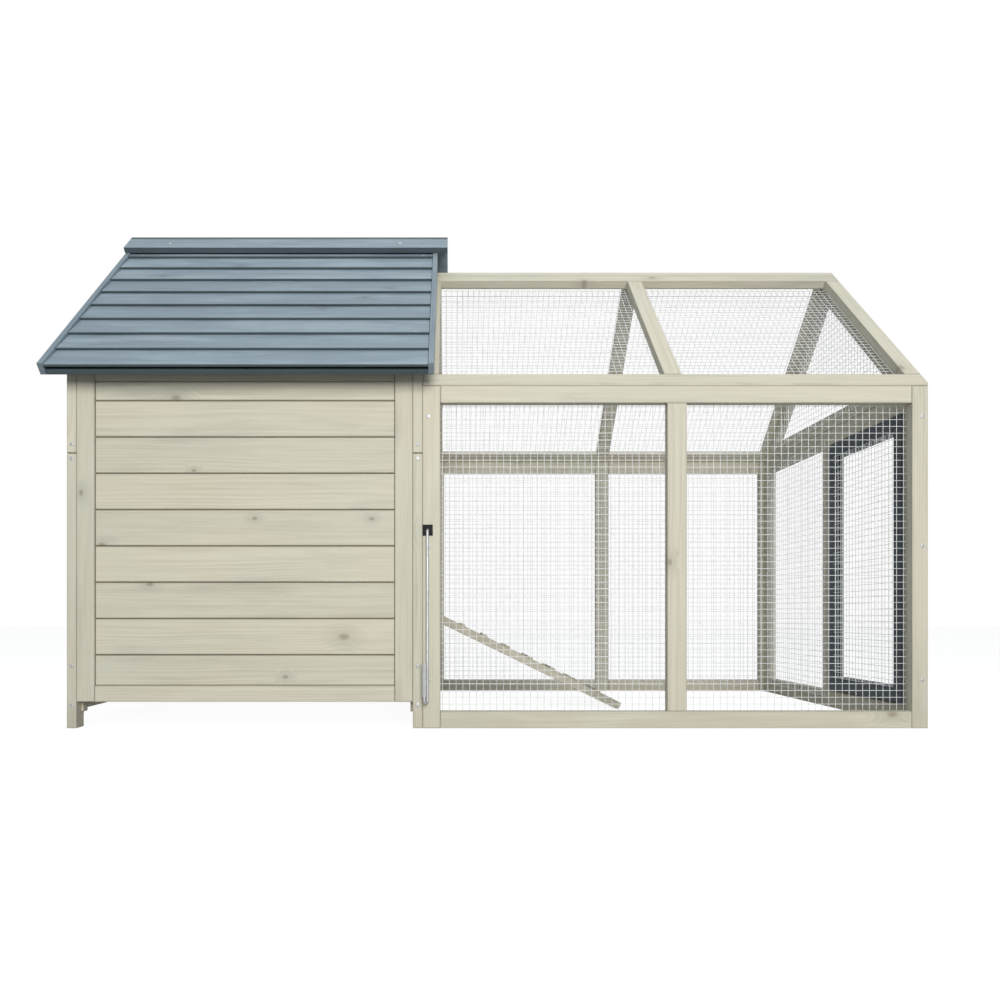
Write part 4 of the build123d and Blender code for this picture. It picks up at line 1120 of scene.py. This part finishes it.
class COOP_OT_hardware(CoopOperator, bpy.types.Operator):
    """Finish the hinges, bolts, tray pull and the pop door's rod."""

    bl_idname = "coop.hardware"
    bl_label = "Zinc hardware"

    def build(self, coop):
        fixing = coop.fixing
        steel = plated_steel("zinc_steel", tuple(fixing.zinc), 0.85, 0.46)
        for node in ZINC:
            item = piece(f"finished_{node}", joined(node), steel, body_of(node), "zinc_steel", node)
            smoothed(item, radians(35))
        for node in HINGES:
            head = cross_head(fixing.leaf_screw_radius, fixing.screw_rise / 2)
            headed(f"screws_{node}", head, leaf_spots(node), steel, body_of(node), "zinc_steel")


class COOP_OT_plastics(CoopOperator, bpy.types.Operator):
    """Finish the rod's grip, its guide plate and the tray's floor."""

    bl_idname = "coop.plastics"
    bl_label = "Plastic and sheet"

    def build(self, coop):
        finishes = {
            "grip_plastic": moulded_plastic("grip_plastic", (0.52, 0.53, 0.53), 0.42),
            "black_plastic": moulded_plastic("black_plastic", (0.006, 0.006, 0.007), 0.75),
            "tray_sheet": plated_steel("tray_sheet", tuple(coop.fixing.zinc), 0.85, 0.42),
        }
        for node, slot in OTHER.items():
            item = piece(f"finished_{node}", joined(node), finishes[slot], body_of(node), slot, node)
            smoothed(item, radians(35))


class COOP_OT_fixings(CoopOperator, bpy.types.Operator):
    """Make the screws and the nails."""

    bl_idname = "coop.fixings"
    bl_label = "Screws and nails"

    def build(self, coop):
        fixing = coop.fixing
        bright = plated_steel("screw_steel", tuple(fixing.zinc), 0.7, 0.5)
        for node in SCREWS:
            head = cross_head(fixing.screw_radius, fixing.screw_rise)
            headed(f"cross_{node}", head, screw_spots(node), bright, "coop", "zinc_steel", node)
        head = cross_head(fixing.board_screw_radius, fixing.screw_rise / 2)
        spots = board_screw_spots("roof_front_boards", BOARD_SCREWS)
        headed("screws_roof_front_boards", head, spots, bright, "coop", "zinc_steel")
        dull = plated_steel("nail_steel", tuple(value * 0.45 for value in fixing.zinc), 0.7, 0.5)
        for node in ("roof_front_boards", "roof_back_boards"):
            head = flat_head(fixing.nail_radius, fixing.nail_radius / 6)
            spots = nail_spots(node, fixing.nail_inset, (0.1,))
            headed(f"nails_{node}", head, spots, dull, "coop", "zinc_steel")


class COOP_OT_stage(CoopOperator, bpy.types.Operator):
    """Set up the floor, the lamps, the world and the camera."""

    bl_idname = "coop.stage"
    bl_label = "Floor, lamps and camera"

    def build(self, coop):
        stage = coop.stage
        scene = bpy.context.scene
        scene.view_settings.view_transform = "Standard"
        self.make_world(scene, stage.sky)
        self.make_floor()
        middle = (cad_box[0] + cad_box[1]) / 2
        key_place = Vector((0.45, -4.4, 1.8))
        self.make_lamp("key_lamp", key_place, middle, 2.4, stage.key, (1.0, 0.985, 0.955))
        top_place = Vector((0.2, 0.1, 3.4))
        self.make_lamp("top_lamp", top_place, middle, 3.0, stage.top, (0.92, 0.97, 1.0))
        camera = bpy.data.objects.new("camera", bpy.data.cameras.new("camera"))
        scene.collection.objects.link(camera)
        camera.data.lens = stage.lens
        camera.data.shift_x = stage.shift_x
        camera.data.shift_y = stage.shift_y
        camera.location = stage.place
        camera.rotation_euler = (pi / 2, 0.0, 0.0)
        scene.camera = camera

    def make_world(self, scene, strength):
        """White to the camera and in reflections, softer as a light."""
        world = bpy.data.worlds.new("studio")
        scene.world = world
        world.use_nodes = True
        tree = world.node_tree
        tree.nodes.clear()
        seen = directly_seen(tree)
        level = spread(tree, seen, 0.0, 1.0, strength, 1.0)
        hue = blend(tree, seen, (0.80, 0.91, 1.0), (1.0, 1.0, 1.0))
        light = add(tree, "ShaderNodeBackground", {"Color": hue, "Strength": level})
        add(tree, "ShaderNodeOutputWorld", {"Surface": light.outputs[0]})

    def make_floor(self):
        """A pale floor, white to the camera where nothing shades it."""
        mesh = bpy.data.meshes.new("floor")
        reach = 14.0
        corners = [(-reach, -reach, 0), (reach, -reach, 0), (reach, reach, 0), (-reach, reach, 0)]
        mesh.from_pydata(corners, [], [(0, 1, 2, 3)])
        floor = bpy.data.objects.new("floor", mesh)
        bpy.context.scene.collection.objects.link(floor)
        material = bpy.data.materials.new("floor")
        material.use_nodes = True
        tree = material.node_tree
        tree.nodes.clear()
        plain = add(tree, "ShaderNodeBsdfDiffuse", {"Color": (0.35, 0.35, 0.35, 1.0)}).outputs[0]
        shaded = add(tree, "ShaderNodeBsdfDiffuse", {"Color": (0.17, 0.17, 0.17, 1.0)}).outputs[0]
        glow = add(tree, "ShaderNodeEmission", {"Strength": 0.93}).outputs[0]
        seen = add(tree, "ShaderNodeAddShader", {0: shaded, 1: glow}).outputs[0]
        mixed = add(tree, "ShaderNodeMixShader", {0: directly_seen(tree), 1: plain, 2: seen}).outputs[0]
        add(tree, "ShaderNodeOutputMaterial", {"Surface": mixed})
        mesh.materials.append(material)

    def make_lamp(self, name, place, target, size, power, tint):
        """A square area lamp that points at a target."""
        lamp = bpy.data.lights.new(name, "AREA")
        lamp.shape = "SQUARE"
        lamp.size = size
        lamp.energy = power
        lamp.color = tint
        item = bpy.data.objects.new(name, lamp)
        bpy.context.scene.collection.objects.link(item)
        item.location = place
        item.rotation_euler = (target - place).to_track_quat("-Z", "Y").to_euler()


class COOP_PT_panel(bpy.types.Panel):
    """Sizes, colours and the making of each group of pieces."""

    bl_idname = "COOP_PT_panel"
    bl_label = "Chicken coop"
    bl_space_type = "VIEW_3D"
    bl_region_type = "UI"
    bl_category = "Coop"

    def draw(self, context):
        """Lists the settings and the operators."""
        coop = context.scene.coop
        for group in ("timber", "paint", "net", "fixing", "stage"):
            box = self.layout.box()
            settings = getattr(coop, group)
            for name in settings.bl_rna.properties.keys():
                if name not in ("rna_type", "name"):
                    box.prop(settings, name)
        for operator in OPERATORS:
            self.layout.operator(operator.bl_idname)


GROUPS = (TimberSettings, PaintSettings, NetSettings, FixingSettings, StageSettings, CoopSettings)
OPERATORS = (
    COOP_OT_bare_timber,
    COOP_OT_roof,
    COOP_OT_doors,
    COOP_OT_nets,
    COOP_OT_hardware,
    COOP_OT_plastics,
    COOP_OT_fixings,
    COOP_OT_stage,
)
CLASSES = GROUPS + OPERATORS + (COOP_PT_panel,)


def register():
    """Registers the classes and the settings."""
    for kind in CLASSES:
        bpy.utils.register_class(kind)
    bpy.types.Scene.coop = PointerProperty(type=CoopSettings)


def unregister():
    """Takes the settings and the classes away again."""
    del bpy.types.Scene.coop
    for kind in reversed(CLASSES):
        bpy.utils.unregister_class(kind)


def main():
    """Makes every piece and the stage."""
    register()
    for operator in OPERATORS:
        family, action = operator.bl_idname.split(".")
        getattr(getattr(bpy.ops, family), action)()


if __name__ == "__main__":
    main()
